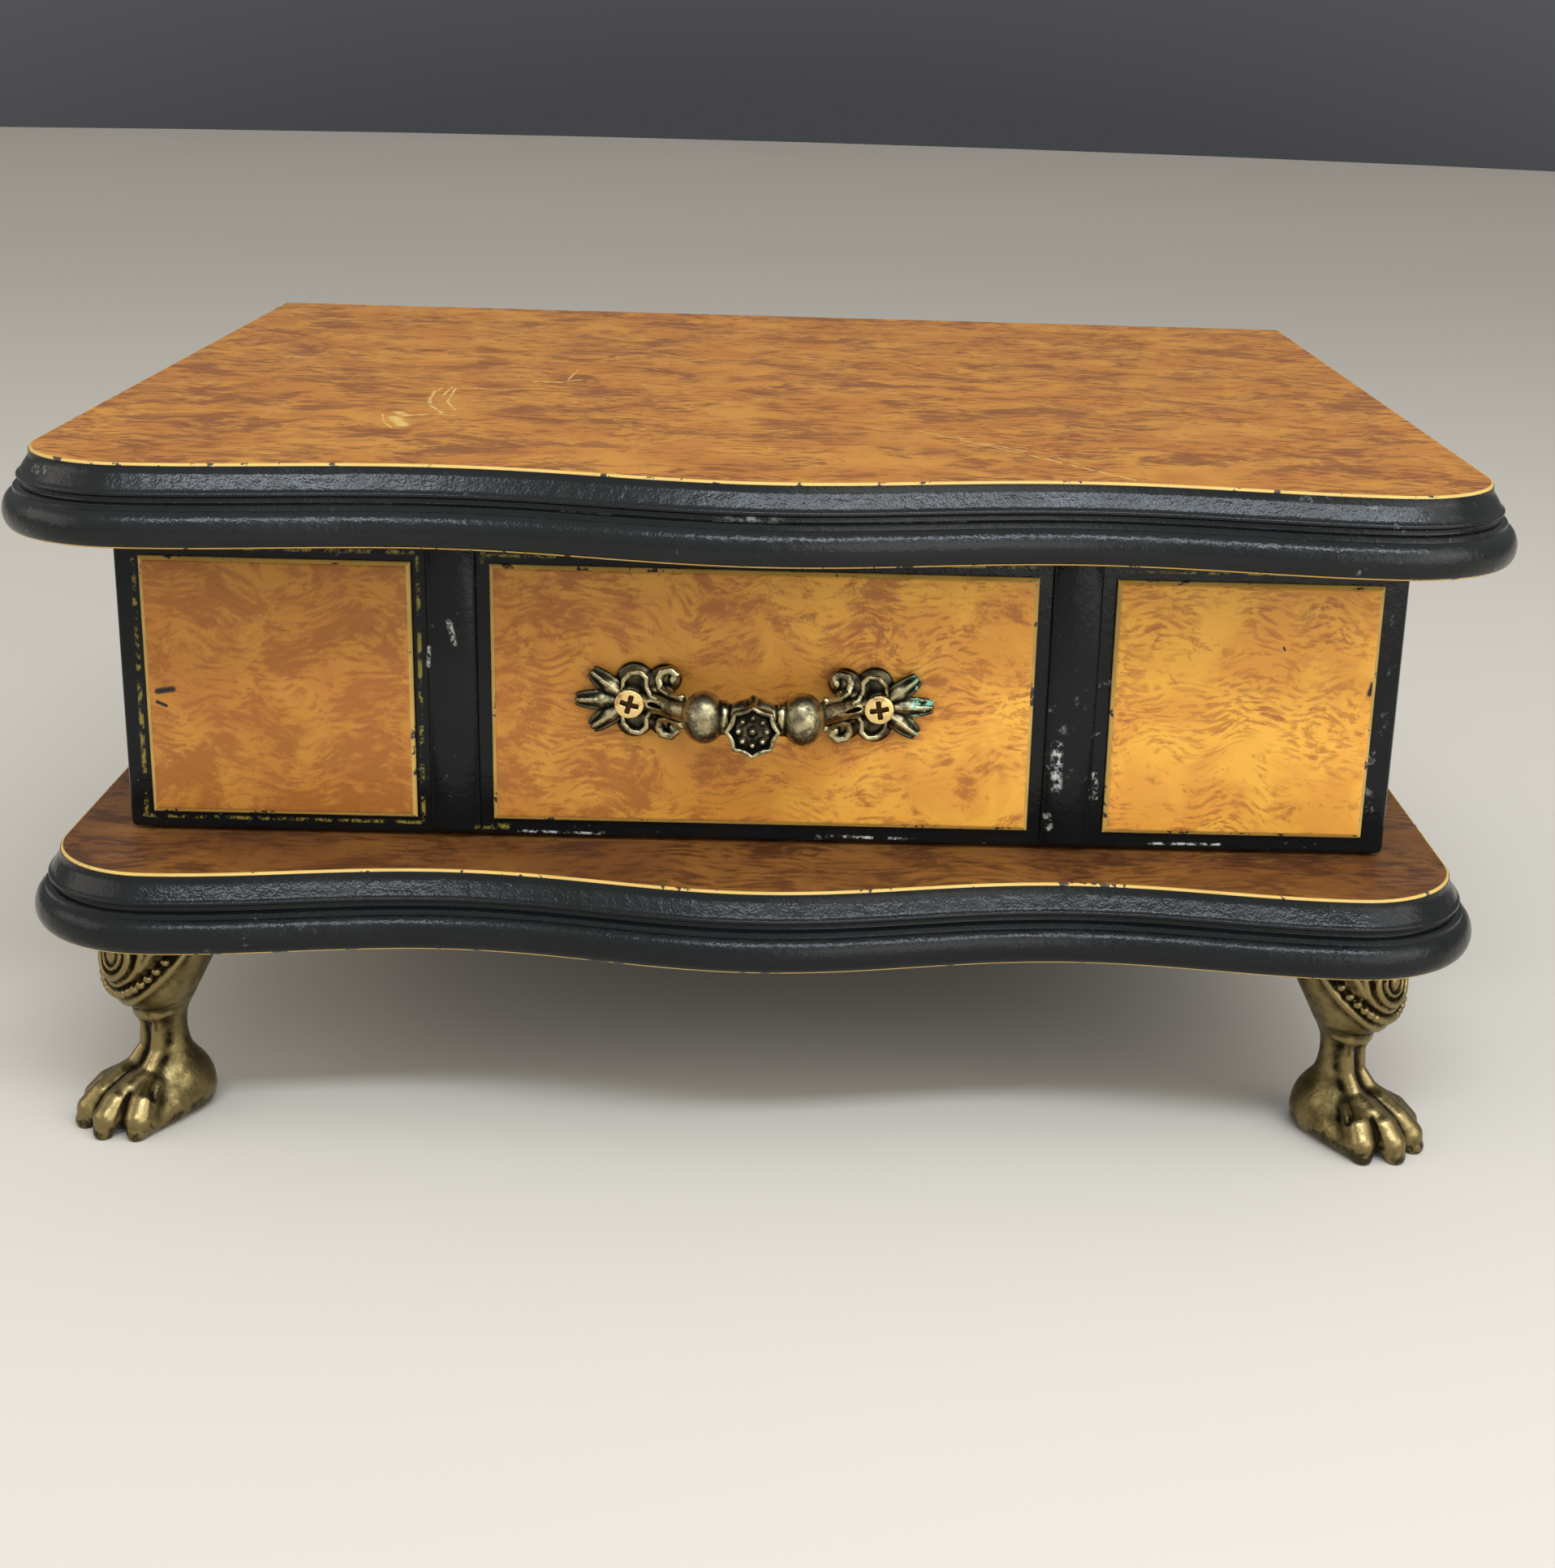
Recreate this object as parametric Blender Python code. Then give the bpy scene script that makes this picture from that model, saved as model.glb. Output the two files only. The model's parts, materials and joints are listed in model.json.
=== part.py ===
"""Jewelry box: a moulded base on four cast feet, a case with one drawer, and a hinged lid over a tray.

Metres, +Z up, the front faces -Y. The origin is under the middle of the box, on the surface it stands on.
"""

import math

import bmesh
import bpy
from mathutils import Matrix, Vector

# Overall sizes
SLAB_WIDTH = 0.236  # base and lid, across the widest part of their moulding
SLAB_DEPTH = 0.1963  # square back edge to the mean line of the wavy front
SLAB_THICKNESS = 0.0122  # moulded board and its veneer together
CASE_HEIGHT = 0.0527  # top of the base to the underside of the lid
FOOT_HEIGHT = 0.0353
CASE_OVERHANG = 0.0146  # how far the base and the lid stand out past each side of the case
FRONT_SETBACK = 0.0213  # mean front line back to the faces of the drawer's fields

# Clearances
GAP = 0.0003  # glue line or seat between two fixed pieces
SLIDE_GAP = 0.0006  # drawer to case, on each side
PIN_GAP = 0.0002  # hinge pin to knuckle, radius

# Outline of the base and the lid
CORNER_RADIUS = 0.022
WAVE_HEIGHT = 0.0029  # bulge at the middle and near each corner, hollow between
CROWN_HEIGHT = 0.0011  # extra bulge at the middle only
VENEER_THICKNESS = 0.0009
VENEER_INSET = 0.0046
# Moulding from the underside up: (inset from the widest line, share of the board's height)
MOULDING = (
    (0.0010, 0.00), (0.0003, 0.09), (0.0, 0.22), (0.0002, 0.33), (0.0008, 0.43), (0.0016, 0.50),
    (0.0018, 0.56), (0.0022, 0.60), (0.0031, 0.62), (0.0031, 0.68), (0.0025, 0.70), (0.0026, 0.75),
    (0.0033, 0.82), (0.0041, 0.92), (0.0045, 1.00),
)
WAVE_STEPS = 44
CORNER_STEPS = 7

# Case
SIDE_THICKNESS = 0.007
BACK_THICKNESS = 0.006
RAIL_THICKNESS = 0.005
TRAY_FLOOR_THICKNESS = 0.003
DRAWER_SPACE = 0.027  # base to the underside of the tray floor
RUNNER_WIDTH = 0.008
RUNNER_HEIGHT = 0.002
STOP_SIZE = Vector((0.030, 0.006, 0.0032))

# Tray fittings
TRAY_PAD_THICKNESS = 0.0015
DIVIDER_THICKNESS = 0.003
TRAY_DIVIDER_DROP = 0.0075  # rim of the case down to the tops of the dividers
TRAY_SIDE_SHARE = 0.3  # width of each outer compartment, as a share of the tray
ROLL_COUNT = 3
ROLL_DROP = 0.0085  # rim of the case down to the tops of the rolls
ROLL_SHOULDER = 0.35  # share of a roll's height where its round top begins
ROLL_FULLNESS = 0.6  # under 1 makes the round top squarer
ROLL_SPACING = 0.0008

# Drawer
BOARD_THICKNESS = 0.008
BOARD_BEVEL = 0.001
BOARD_CLEARANCE = 0.0005  # below and above the drawer front
FIELD_RAISE = 0.0012
FIELD_BEVEL = 0.0012
FIELD_BOTTOM_MARGIN = 0.0032
FIELD_TOP_MARGIN = 0.0057
FIELD_SIDE_MARGIN = 0.0042
MIDDLE_FIELD_SHARE = 0.505  # of the three fields' widths together
STILE_WIDTH = 0.0125  # space between two fields
BAR_WIDTH = 0.008
BAR_HEIGHT = 0.0011
DRAWER_SIDE_THICKNESS = 0.005
DRAWER_BOTTOM_THICKNESS = 0.0025
DRAWER_BACK_SPACE = 0.003
DRAWER_DIVIDER_DROP = 0.002  # tops of the drawer's sides down to its divider
DRAWER_PAD_THICKNESS = 0.0015
DRAWER_TRAVEL = 0.100

# Lid
LINING_MARGIN = 0.004  # inner faces of the case to the lid's lining
LINING_BORDER = 0.018  # width of the velvet around the mirror
MIRROR_THICKNESS = 0.002
LINING_THICKNESS = 0.0012
LINING_RECESS = 0.0005  # how far the mirror's face is let into the lid

# Hinges
HINGE_WIDTH = 0.024
HINGE_OFFSET = 0.060  # middle of the box to the middle of each hinge
LEAF_HEIGHT = 0.0088
LEAF_THICKNESS = 0.0009
KNUCKLE_RADIUS = 0.0018
PIN_RADIUS = 0.00075
KNUCKLE_COUNT = 3

# Feet
FOOT_INSET = 0.0197  # widest line of the base to the foot's axis
FOOT_SIDES = 14
EAR_WIDTH = 0.010
EAR_THICKNESS = 0.0018
EAR_HOLE_OFFSET = 0.0130
EAR_STEPS = 8
# Foot from the floor up: (share of its height, offset towards the toes, half length, half width)
FOOT_STATIONS = (
    (0.000, 0.0044, 0.0110, 0.0078), (0.020, 0.0044, 0.0116, 0.0082), (0.055, 0.0042, 0.0118, 0.0084),
    (0.115, 0.0038, 0.0108, 0.0079), (0.185, 0.0028, 0.0086, 0.0068), (0.255, 0.0014, 0.0058, 0.0052),
    (0.325, 0.0002, 0.0040, 0.0040), (0.400, -0.0002, 0.0033, 0.0035), (0.470, 0.0000, 0.0035, 0.0037),
    (0.540, 0.0006, 0.0046, 0.0048), (0.620, 0.0012, 0.0064, 0.0066), (0.710, 0.0009, 0.0078, 0.0080),
    (0.800, 0.0002, 0.0088, 0.0090), (0.910, -0.0006, 0.0088, 0.0092), (1.000, -0.0010, 0.0082, 0.0092),
)

# Handle
HANDLE_OFFSET = -0.0013
HANDLE_SCREW_SPACING = 0.040
ROSETTE_THICKNESS = 0.0022
ROSETTE_HUB = 0.0036
ROSETTE_SIDES = 72
# Lobes on both sides of the handle's line: (degrees from outwards, reach, angular half width)
ROSETTE_LOBES = ((0, 0.0087, 12), (40, 0.0078, 11), (88, 0.0068, 15), (140, 0.0060, 14))
GRIP_STANDOFF = 0.0095  # plate's back to the grip's centre line
GRIP_RADIUS = 0.0022
ARM_INSET = 0.004  # screw to the foot of the arm
ARM_HALF_THICKNESS = 0.0013
ARM_HALF_HEIGHT = 0.0029
ARM_STEPS = 8
ARM_SIDES = 10
BALL_OFFSET = 0.0078
BALL_RADII = Vector((0.0034, 0.0038, 0.0042))
MEDALLION_RADIUS = 0.0045
MEDALLION_THICKNESS = 0.0016
MEDALLION_DROP = 0.0012
MEDALLION_POINTS = 8
MEDALLION_SCALLOP = 0.07  # depth of the hollows between points, as a share of the radius

# Screws
HOLE_GAP = 0.0003
SMALL_SCREW = {"head": 0.0014, "shank": 0.0007, "length": 0.0045}
FOOT_SCREW = {"head": 0.0030, "shank": 0.0015, "length": 0.0080}
HANDLE_SCREW = {"head": 0.00235, "shank": 0.0011, "length": 0.0095}
SCREW_SIDES = 12
ROUND_SIDES = 16

# Levels and places that follow from the sizes
FRONT_WIDTH = SLAB_WIDTH - 2 * CASE_OVERHANG
BASE_TOP = FOOT_HEIGHT + SLAB_THICKNESS
LID_BOTTOM = BASE_TOP + CASE_HEIGHT
BOARD_HEIGHT_OF_SLAB = SLAB_THICKNESS - VENEER_THICKNESS - GAP
KNUCKLE_REACH = GAP + 2 * KNUCKLE_RADIUS  # how far the hinges stand out behind
FRONT_REACH = WAVE_HEIGHT + CROWN_HEIGHT  # how far the bulge stands out before the mean line
BACK_Y = (SLAB_DEPTH + FRONT_REACH - KNUCKLE_REACH) / 2
MEAN_FRONT_Y = BACK_Y - SLAB_DEPTH
FACE_Y = MEAN_FRONT_Y + FRONT_SETBACK
BOARD_Y = FACE_Y + FIELD_RAISE
CASE_FRONT_Y = BOARD_Y + BOARD_THICKNESS + GAP
CASE_BOTTOM = BASE_TOP + GAP
CASE_TOP = LID_BOTTOM - GAP
INNER_X = FRONT_WIDTH / 2 - SIDE_THICKNESS
INNER_BACK_Y = BACK_Y - BACK_THICKNESS
TRAY_FLOOR_BOTTOM = CASE_BOTTOM + DRAWER_SPACE
TRAY_FLOOR_TOP = TRAY_FLOOR_BOTTOM + TRAY_FLOOR_THICKNESS
TRAY_FRONT_Y = CASE_FRONT_Y + RAIL_THICKNESS
HINGE_AXIS = Vector((0.0, BACK_Y + GAP + KNUCKLE_RADIUS, LID_BOTTOM - GAP / 2))
DRAWER_ORIGIN = Vector((0.0, FACE_Y, CASE_BOTTOM))


def clear_scene():
    for thing in list(bpy.data.objects):
        bpy.data.objects.remove(thing, do_unlink=True)


def make_material(name, colour, roughness, metallic=0.0):
    material = bpy.data.materials.new(name)
    material.use_nodes = True
    shader = material.node_tree.nodes["Principled BSDF"]
    shader.inputs["Base Color"].default_value = (*colour, 1.0)
    shader.inputs["Roughness"].default_value = roughness
    shader.inputs["Metallic"].default_value = metallic
    material.diffuse_color = (*colour, 1.0)
    return material


def make_materials():
    return {
        "black": make_material("black_paint", (0.012, 0.013, 0.015), 0.38),
        "top_burl": make_material("top_burl", (0.42, 0.18, 0.045), 0.34),
        "field_burl": make_material("field_burl", (0.60, 0.29, 0.06), 0.34),
        "wood": make_material("case_wood", (0.35, 0.20, 0.09), 0.55),
        "velvet": make_material("red_velvet", (0.22, 0.012, 0.02), 0.95),
        "brass": make_material("brass", (0.78, 0.55, 0.22), 0.3, 1.0),
        "bronze": make_material("old_brass", (0.22, 0.17, 0.09), 0.42, 1.0),
        "gold": make_material("cast_gold", (0.50, 0.39, 0.19), 0.4, 1.0),
        "mirror": make_material("mirror_glass", (0.9, 0.9, 0.9), 0.02, 1.0),
    }


def finish_object(name, bm, material, parent, smooth_angle=None):
    """Turns a bmesh in world coordinates into an object under its body's empty."""
    bmesh.ops.recalc_face_normals(bm, faces=bm.faces)
    middle = sum((v.co for v in bm.verts), Vector()) / len(bm.verts)
    bmesh.ops.translate(bm, verts=bm.verts, vec=-middle)
    mesh = bpy.data.meshes.new(name)
    bm.to_mesh(mesh)
    bm.free()
    if smooth_angle is not None:
        mesh.shade_smooth()
        mesh.set_sharp_from_angle(angle=math.radians(smooth_angle))
    thing = bpy.data.objects.new(name, mesh)
    bpy.context.scene.collection.objects.link(thing)
    if material is not None:
        mesh.materials.append(material)
    if parent is not None:
        thing.parent = parent
        middle = middle - parent.location
    thing.location = middle
    return thing


def box_bmesh(low, high):
    bm = bmesh.new()
    low, high = Vector(low), Vector(high)
    size = high - low
    middle = Matrix.Translation((low + high) / 2)
    bmesh.ops.create_cube(bm, size=1.0, matrix=middle @ Matrix.Diagonal((*size, 1.0)))
    return bm


def plate_bmesh(middle, half, low_z, high_z):
    """A level plate from its plan's middle and half sizes."""
    return box_bmesh((*(middle - half), low_z), (*(middle + half), high_z))


def make_box(name, low, high, material, parent, bevel=0.0):
    thing = finish_object(name, box_bmesh(low, high), material, parent)
    if bevel:
        edge = thing.modifiers.new("edges", "BEVEL")
        edge.width = bevel
        edge.segments = 2
        edge.limit_method = "ANGLE"
    return thing


def loft_bmesh(rings):
    """Joins closed rings of points into one skin with a flat cap at each end."""
    bm = bmesh.new()
    rows = [[bm.verts.new(point) for point in ring] for ring in rings]
    count = len(rows[0])
    for lower, upper in zip(rows, rows[1:]):
        for i in range(count):
            j = (i + 1) % count
            bm.faces.new((lower[i], lower[j], upper[j], upper[i]))
    bm.faces.new(reversed(rows[0]))
    bm.faces.new(rows[-1])
    return bm


def cylinder_bmesh(start, end, radius, sides=ROUND_SIDES):
    start, end = Vector(start), Vector(end)
    run = end - start
    turn = run.to_track_quat("Z", "Y").to_matrix().to_4x4()
    bm = bmesh.new()
    place = Matrix.Translation((start + end) / 2) @ turn
    bmesh.ops.create_cone(
        bm, cap_ends=True, segments=sides, radius1=radius, radius2=radius, depth=run.length, matrix=place
    )
    return bm


def ellipsoid_bmesh(centre, radii, around=14, along=8):
    bm = bmesh.new()
    place = Matrix.Translation(centre) @ Matrix.Diagonal((*radii, 1.0))
    bmesh.ops.create_uvsphere(bm, u_segments=around, v_segments=along, radius=1.0, matrix=place)
    return bm


def combine(thing, bm, operation, label):
    """Adds or cuts a shape, in world coordinates, with a Boolean modifier on the object."""
    tool = finish_object(f"{thing.name}_{label}", bm, None, None)
    tool.hide_render = True
    tool.display_type = "WIRE"
    step = thing.modifiers.new(label, "BOOLEAN")
    step.operation = operation
    step.solver = "EXACT"
    step.object = tool


def drill(thing, start, end, radius, label):
    combine(thing, cylinder_bmesh(start, end, radius, SCREW_SIDES), "DIFFERENCE", label)


def front_line(x):
    """Y of the wavy front, at its widest line, for a place across the box."""
    straight = SLAB_WIDTH / 2 - CORNER_RADIUS
    phase = math.pi * x / straight
    return MEAN_FRONT_Y - WAVE_HEIGHT * math.cos(2 * phase) - CROWN_HEIGHT * math.cos(phase)


def front_points(inset):
    """The wavy stretch between the corners, moved inwards square to itself."""
    straight = SLAB_WIDTH / 2 - CORNER_RADIUS
    points = []
    for i in range(WAVE_STEPS + 1):
        x = -straight + 2 * straight * i / WAVE_STEPS
        phase = math.pi * x / straight
        slope = math.pi / straight * (2 * WAVE_HEIGHT * math.sin(2 * phase) + CROWN_HEIGHT * math.sin(phase))
        normal = Vector((-slope, 1.0)).normalized()
        points.append(Vector((x, front_line(x))) + inset * normal)
    return points


def corner_points(side, inset):
    """A front corner's arc, from the straight side to the front for side -1, and back for side 1."""
    straight = SLAB_WIDTH / 2 - CORNER_RADIUS
    centre = Vector((side * straight, front_line(side * straight) + CORNER_RADIUS))
    radius = CORNER_RADIUS - inset
    points = []
    for i in range(CORNER_STEPS):
        turn = math.pi / 2 * i / CORNER_STEPS
        points.append(centre + radius * Vector((side * math.cos(turn), -math.sin(turn))))
    return points if side < 0 else list(reversed(points))


def slab_outline(inset, z):
    """The plan of the base or the lid: square at the back, moulded sides, round corners, wavy front."""
    half = SLAB_WIDTH / 2 - inset
    plan = [Vector((-half, BACK_Y))] + corner_points(-1, inset) + front_points(inset)
    plan += corner_points(1, inset) + [Vector((half, BACK_Y))]
    return [(point.x, point.y, z) for point in plan]


def make_slab(name, bottom, material, parent):
    rings = [slab_outline(inset, bottom + share * BOARD_HEIGHT_OF_SLAB) for inset, share in MOULDING]
    return finish_object(name, loft_bmesh(rings), material, parent, smooth_angle=35)


def make_veneer(name, bottom, material, parent):
    low = bottom + BOARD_HEIGHT_OF_SLAB + GAP
    rings = [slab_outline(VENEER_INSET, low), slab_outline(VENEER_INSET, low + VENEER_THICKNESS)]
    return finish_object(name, loft_bmesh(rings), material, parent)


def foot_places():
    """Name, plan place and the direction of the toes for each foot."""
    x = SLAB_WIDTH / 2 - FOOT_INSET
    front = front_line(SLAB_WIDTH / 2 - CORNER_RADIUS) + FOOT_INSET
    rear = BACK_Y - FOOT_INSET
    for end, y, forward in (("front", front, -1), ("rear", rear, 1)):
        for side, sign in (("left", -1), ("right", 1)):
            yield f"{end}_{side}", Vector((sign * x, y, 0.0)), Vector((sign, forward, 0.0)).normalized()


def foot_rings(place, toes):
    across = Vector((-toes.y, toes.x, 0.0))
    rings = []
    for share, offset, half_length, half_width in FOOT_STATIONS:
        centre = place + offset * toes + Vector((0, 0, share * (FOOT_HEIGHT - GAP)))
        ring = []
        for i in range(FOOT_SIDES):
            turn = 2 * math.pi * i / FOOT_SIDES
            ring.append(centre + half_length * math.cos(turn) * toes + half_width * math.sin(turn) * across)
        rings.append(ring)
    return rings


def ear_bmesh(place, toes):
    """The screw ear behind the knee, a flat lug with a round end."""
    across = Vector((-toes.y, toes.x, 0.0))
    round_centre = place - EAR_HOLE_OFFSET * toes
    plan = [place + EAR_WIDTH / 2 * across, round_centre + EAR_WIDTH / 2 * across]
    for i in range(1, EAR_STEPS):
        turn = math.pi * i / EAR_STEPS
        plan.append(round_centre + EAR_WIDTH / 2 * (math.cos(turn) * across - math.sin(turn) * toes))
    plan += [round_centre - EAR_WIDTH / 2 * across, place - EAR_WIDTH / 2 * across]
    high = FOOT_HEIGHT - GAP
    low = high - EAR_THICKNESS
    return loft_bmesh([[(p.x, p.y, low) for p in plan], [(p.x, p.y, high) for p in plan]])


def screw_bmesh(size):
    """A pan-head screw along +Z with its head's underside at the origin, and its shank below."""
    head, shank, length = size["head"], size["shank"], size["length"]
    profile = [(shank, -length), (shank, 0.0), (head, 0.0), (head, 0.25 * head), (0.85 * head, 0.5 * head)]
    profile += [(0.5 * head, 0.68 * head)]
    rings = []
    for radius, z in profile:
        turns = [2 * math.pi * i / SCREW_SIDES for i in range(SCREW_SIDES)]
        rings.append([(radius * math.cos(turn), radius * math.sin(turn), z) for turn in turns])
    return loft_bmesh(rings)


def cross_bmesh(size):
    """The driver's cross recess, as one closed cross-shaped prism."""
    long, short = 0.62 * size["head"], 0.16 * size["head"]
    plan = []
    for quarter in range(4):
        turn = Matrix.Rotation(-quarter * math.pi / 2, 2)
        plan += [turn @ Vector(point) for point in ((short, long), (short, short), (long, short))]
    low, high = 0.3 * size["head"], size["head"]
    return loft_bmesh([[(x, y, low) for x, y in plan], [(x, y, high) for x, y in plan]])


def make_screw(name, seat, out, size, material, parent):
    """Seats a screw's head on a point, with the head standing out along a direction."""
    place = Matrix.Translation(seat) @ Vector(out).to_track_quat("Z", "Y").to_matrix().to_4x4()
    bm = screw_bmesh(size)
    bmesh.ops.transform(bm, matrix=place, verts=bm.verts)
    thing = finish_object(name, bm, material, parent, smooth_angle=40)
    cutter = cross_bmesh(size)
    bmesh.ops.transform(cutter, matrix=place, verts=cutter.verts)
    combine(thing, cutter, "DIFFERENCE", "cross")
    return thing


def make_foot(label, place, toes, base, materials, parent):
    foot = finish_object(f"foot_{label}", loft_bmesh(foot_rings(place, toes)), materials["gold"], parent, 50)
    combine(foot, ear_bmesh(place, toes), "UNION", "ear")
    hole = place - EAR_HOLE_OFFSET * toes
    up = Vector((0, 0, 1))
    seat = hole + (FOOT_HEIGHT - GAP - EAR_THICKNESS - GAP) * up
    radius = FOOT_SCREW["shank"] + HOLE_GAP
    drill(foot, seat - GAP * up, hole + 2 * FOOT_HEIGHT * up, radius, "screw_hole")
    tip = seat + (FOOT_SCREW["length"] + HOLE_GAP) * up
    drill(base, seat, tip, radius, f"hole_{label}")
    make_screw(f"foot_screw_{label}", seat, -up, FOOT_SCREW, materials["brass"], parent)


def make_base(materials, parent):
    base = make_slab("base_slab", FOOT_HEIGHT, materials["black"], parent)
    make_veneer("base_veneer", FOOT_HEIGHT, materials["top_burl"], parent)
    for label, place, toes in foot_places():
        make_foot(label, place, toes, base, materials, parent)


def make_case(materials, parent):
    """Two sides, a back that takes the hinges, the tray's front rail and floor. Returns the back."""
    black, wood = materials["black"], materials["wood"]
    half = FRONT_WIDTH / 2
    for side, sign in (("left", -1), ("right", 1)):
        x = sorted((sign * half, sign * INNER_X))
        low = (x[0], CASE_FRONT_Y, CASE_BOTTOM)
        make_box(f"case_side_{side}", low, (x[1], BACK_Y, CASE_TOP), black, parent)
    inner = INNER_X - GAP
    back_low = (-inner, INNER_BACK_Y, CASE_BOTTOM)
    back = make_box("case_back", back_low, (inner, BACK_Y, CASE_TOP), black, parent)
    rail_low = (-inner, CASE_FRONT_Y, TRAY_FLOOR_BOTTOM)
    make_box("tray_rail", rail_low, (inner, TRAY_FRONT_Y - GAP, CASE_TOP), wood, parent)
    floor_low = (-inner, TRAY_FRONT_Y, TRAY_FLOOR_BOTTOM)
    floor_high = (inner, INNER_BACK_Y - GAP, TRAY_FLOOR_TOP)
    make_box("tray_floor", floor_low, floor_high, wood, parent)
    return back


def make_runners(materials, parent):
    for side, sign in (("left", -1), ("right", 1)):
        outer = INNER_X - GAP
        x = sorted((sign * outer, sign * (outer - RUNNER_WIDTH)))
        low = (x[0], CASE_FRONT_Y, CASE_BOTTOM)
        high = (x[1], INNER_BACK_Y - GAP, CASE_BOTTOM + RUNNER_HEIGHT)
        make_box(f"drawer_runner_{side}", low, high, materials["wood"], parent)


def drawer_back_front_face():
    """Y of the inner face of the drawer's back, with the drawer shut."""
    return INNER_BACK_Y - DRAWER_BACK_SPACE - DRAWER_SIDE_THICKNESS


def make_drawer_stop(materials, parent):
    """A block under the tray floor that catches the drawer's back at the end of its travel."""
    rear = drawer_back_front_face() - DRAWER_TRAVEL - GAP
    top = TRAY_FLOOR_BOTTOM - GAP
    low = (-STOP_SIZE.x / 2, rear - STOP_SIZE.y, top - STOP_SIZE.z)
    make_box("drawer_stop", low, (STOP_SIZE.x / 2, rear, top), materials["wood"], parent)


def tray_bays():
    """Name and the two X limits of each compartment of the tray."""
    half = INNER_X - GAP
    split = half - 2 * half * TRAY_SIDE_SHARE
    inner = split - DIVIDER_THICKNESS / 2 - GAP
    outer = split + DIVIDER_THICKNESS / 2 + GAP
    return (("left", -half, -outer), ("centre", -inner, inner), ("right", outer, half))


def make_tray_fittings(materials, parent):
    velvet = materials["velvet"]
    low_z = TRAY_FLOOR_TOP + GAP
    back = INNER_BACK_Y - GAP
    bays = tray_bays()
    for side, low_x, high_x in bays:
        high = (high_x, back, low_z + TRAY_PAD_THICKNESS)
        make_box(f"tray_pad_{side}", (low_x, TRAY_FRONT_Y, low_z), high, velvet, parent)
    for side, low_x in (("left", bays[0][2] + GAP), ("right", bays[1][2] + GAP)):
        high = (low_x + DIVIDER_THICKNESS, back, CASE_TOP - TRAY_DIVIDER_DROP)
        make_box(f"tray_divider_{side}", (low_x, TRAY_FRONT_Y, low_z), high, velvet, parent)
    make_ring_rolls(bays[0], low_z + TRAY_PAD_THICKNESS + GAP, velvet, parent)


def make_ring_rolls(bay, low_z, material, parent):
    """Padded rolls with round tops, side by side, which hold rings between them."""
    _, low_x, high_x = bay
    depth = INNER_BACK_Y - GAP - TRAY_FRONT_Y
    pitch = depth / ROLL_COUNT
    half = (pitch - ROLL_SPACING) / 2
    height = CASE_TOP - ROLL_DROP - low_z
    for number in range(ROLL_COUNT):
        centre = TRAY_FRONT_Y + pitch * (number + 0.5)
        plan = [(centre - half, low_z), (centre + half, low_z)]
        for i in range(13):
            turn = math.pi * i / 12
            share = ROLL_SHOULDER + (1 - ROLL_SHOULDER) * math.sin(turn) ** ROLL_FULLNESS
            plan.append((centre + half * math.cos(turn), low_z + height * share))
        ends = (low_x + GAP, high_x - GAP)
        rings = [[(x, y, z) for y, z in plan] for x in ends]
        finish_object(f"ring_roll_{number + 1}", loft_bmesh(rings), material, parent, 40)


def make_hinge(side, sign, back, lid, materials, case_body, lid_body):
    """A butt hinge on the back: one leaf with two knuckles, one with the middle knuckle, and the pin."""
    centre = HINGE_AXIS + Vector((sign * HINGE_OFFSET, 0, 0))
    pitch = HINGE_WIDTH / KNUCKLE_COUNT
    spans = [(-HINGE_WIDTH / 2 + i * pitch + GAP / 2, -HINGE_WIDTH / 2 + (i + 1) * pitch - GAP / 2)
             for i in range(KNUCKLE_COUNT)]
    leaves = (("case", -1, (spans[0], spans[2]), case_body, back), ("lid", 1, (spans[1],), lid_body, lid))
    for owner, way, knuckles, body, board in leaves:
        leaf = make_leaf(f"hinge_leaf_{owner}_{side}", centre, way, knuckles, materials["brass"], body)
        for number, offset in enumerate((-pitch, pitch)):
            x = centre.x + offset
            z = centre.z + way * (KNUCKLE_RADIUS + LEAF_HEIGHT) / 2
            hole_radius = SMALL_SCREW["shank"] + HOLE_GAP
            seat = Vector((x, BACK_Y + GAP + LEAF_THICKNESS + GAP, z))
            inward = Vector((0, -1, 0))
            label = f"screw_hole_{number}"
            drill(leaf, seat - GAP * inward, seat + 2 * LEAF_THICKNESS * inward, hole_radius, label)
            tip = seat + (SMALL_SCREW["length"] + HOLE_GAP) * inward
            drill(board, seat, tip, hole_radius, f"hinge_hole_{side}_{number}")
            name = f"hinge_screw_{owner}_{side}_{number + 1}"
            make_screw(name, seat, -inward, SMALL_SCREW, materials["brass"], body)
    ends = Vector((HINGE_WIDTH / 2 + GAP, 0, 0))
    pin = cylinder_bmesh(centre - ends, centre + ends, PIN_RADIUS, ROUND_SIDES)
    finish_object(f"hinge_pin_{side}", pin, materials["brass"], case_body, 40)


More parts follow.
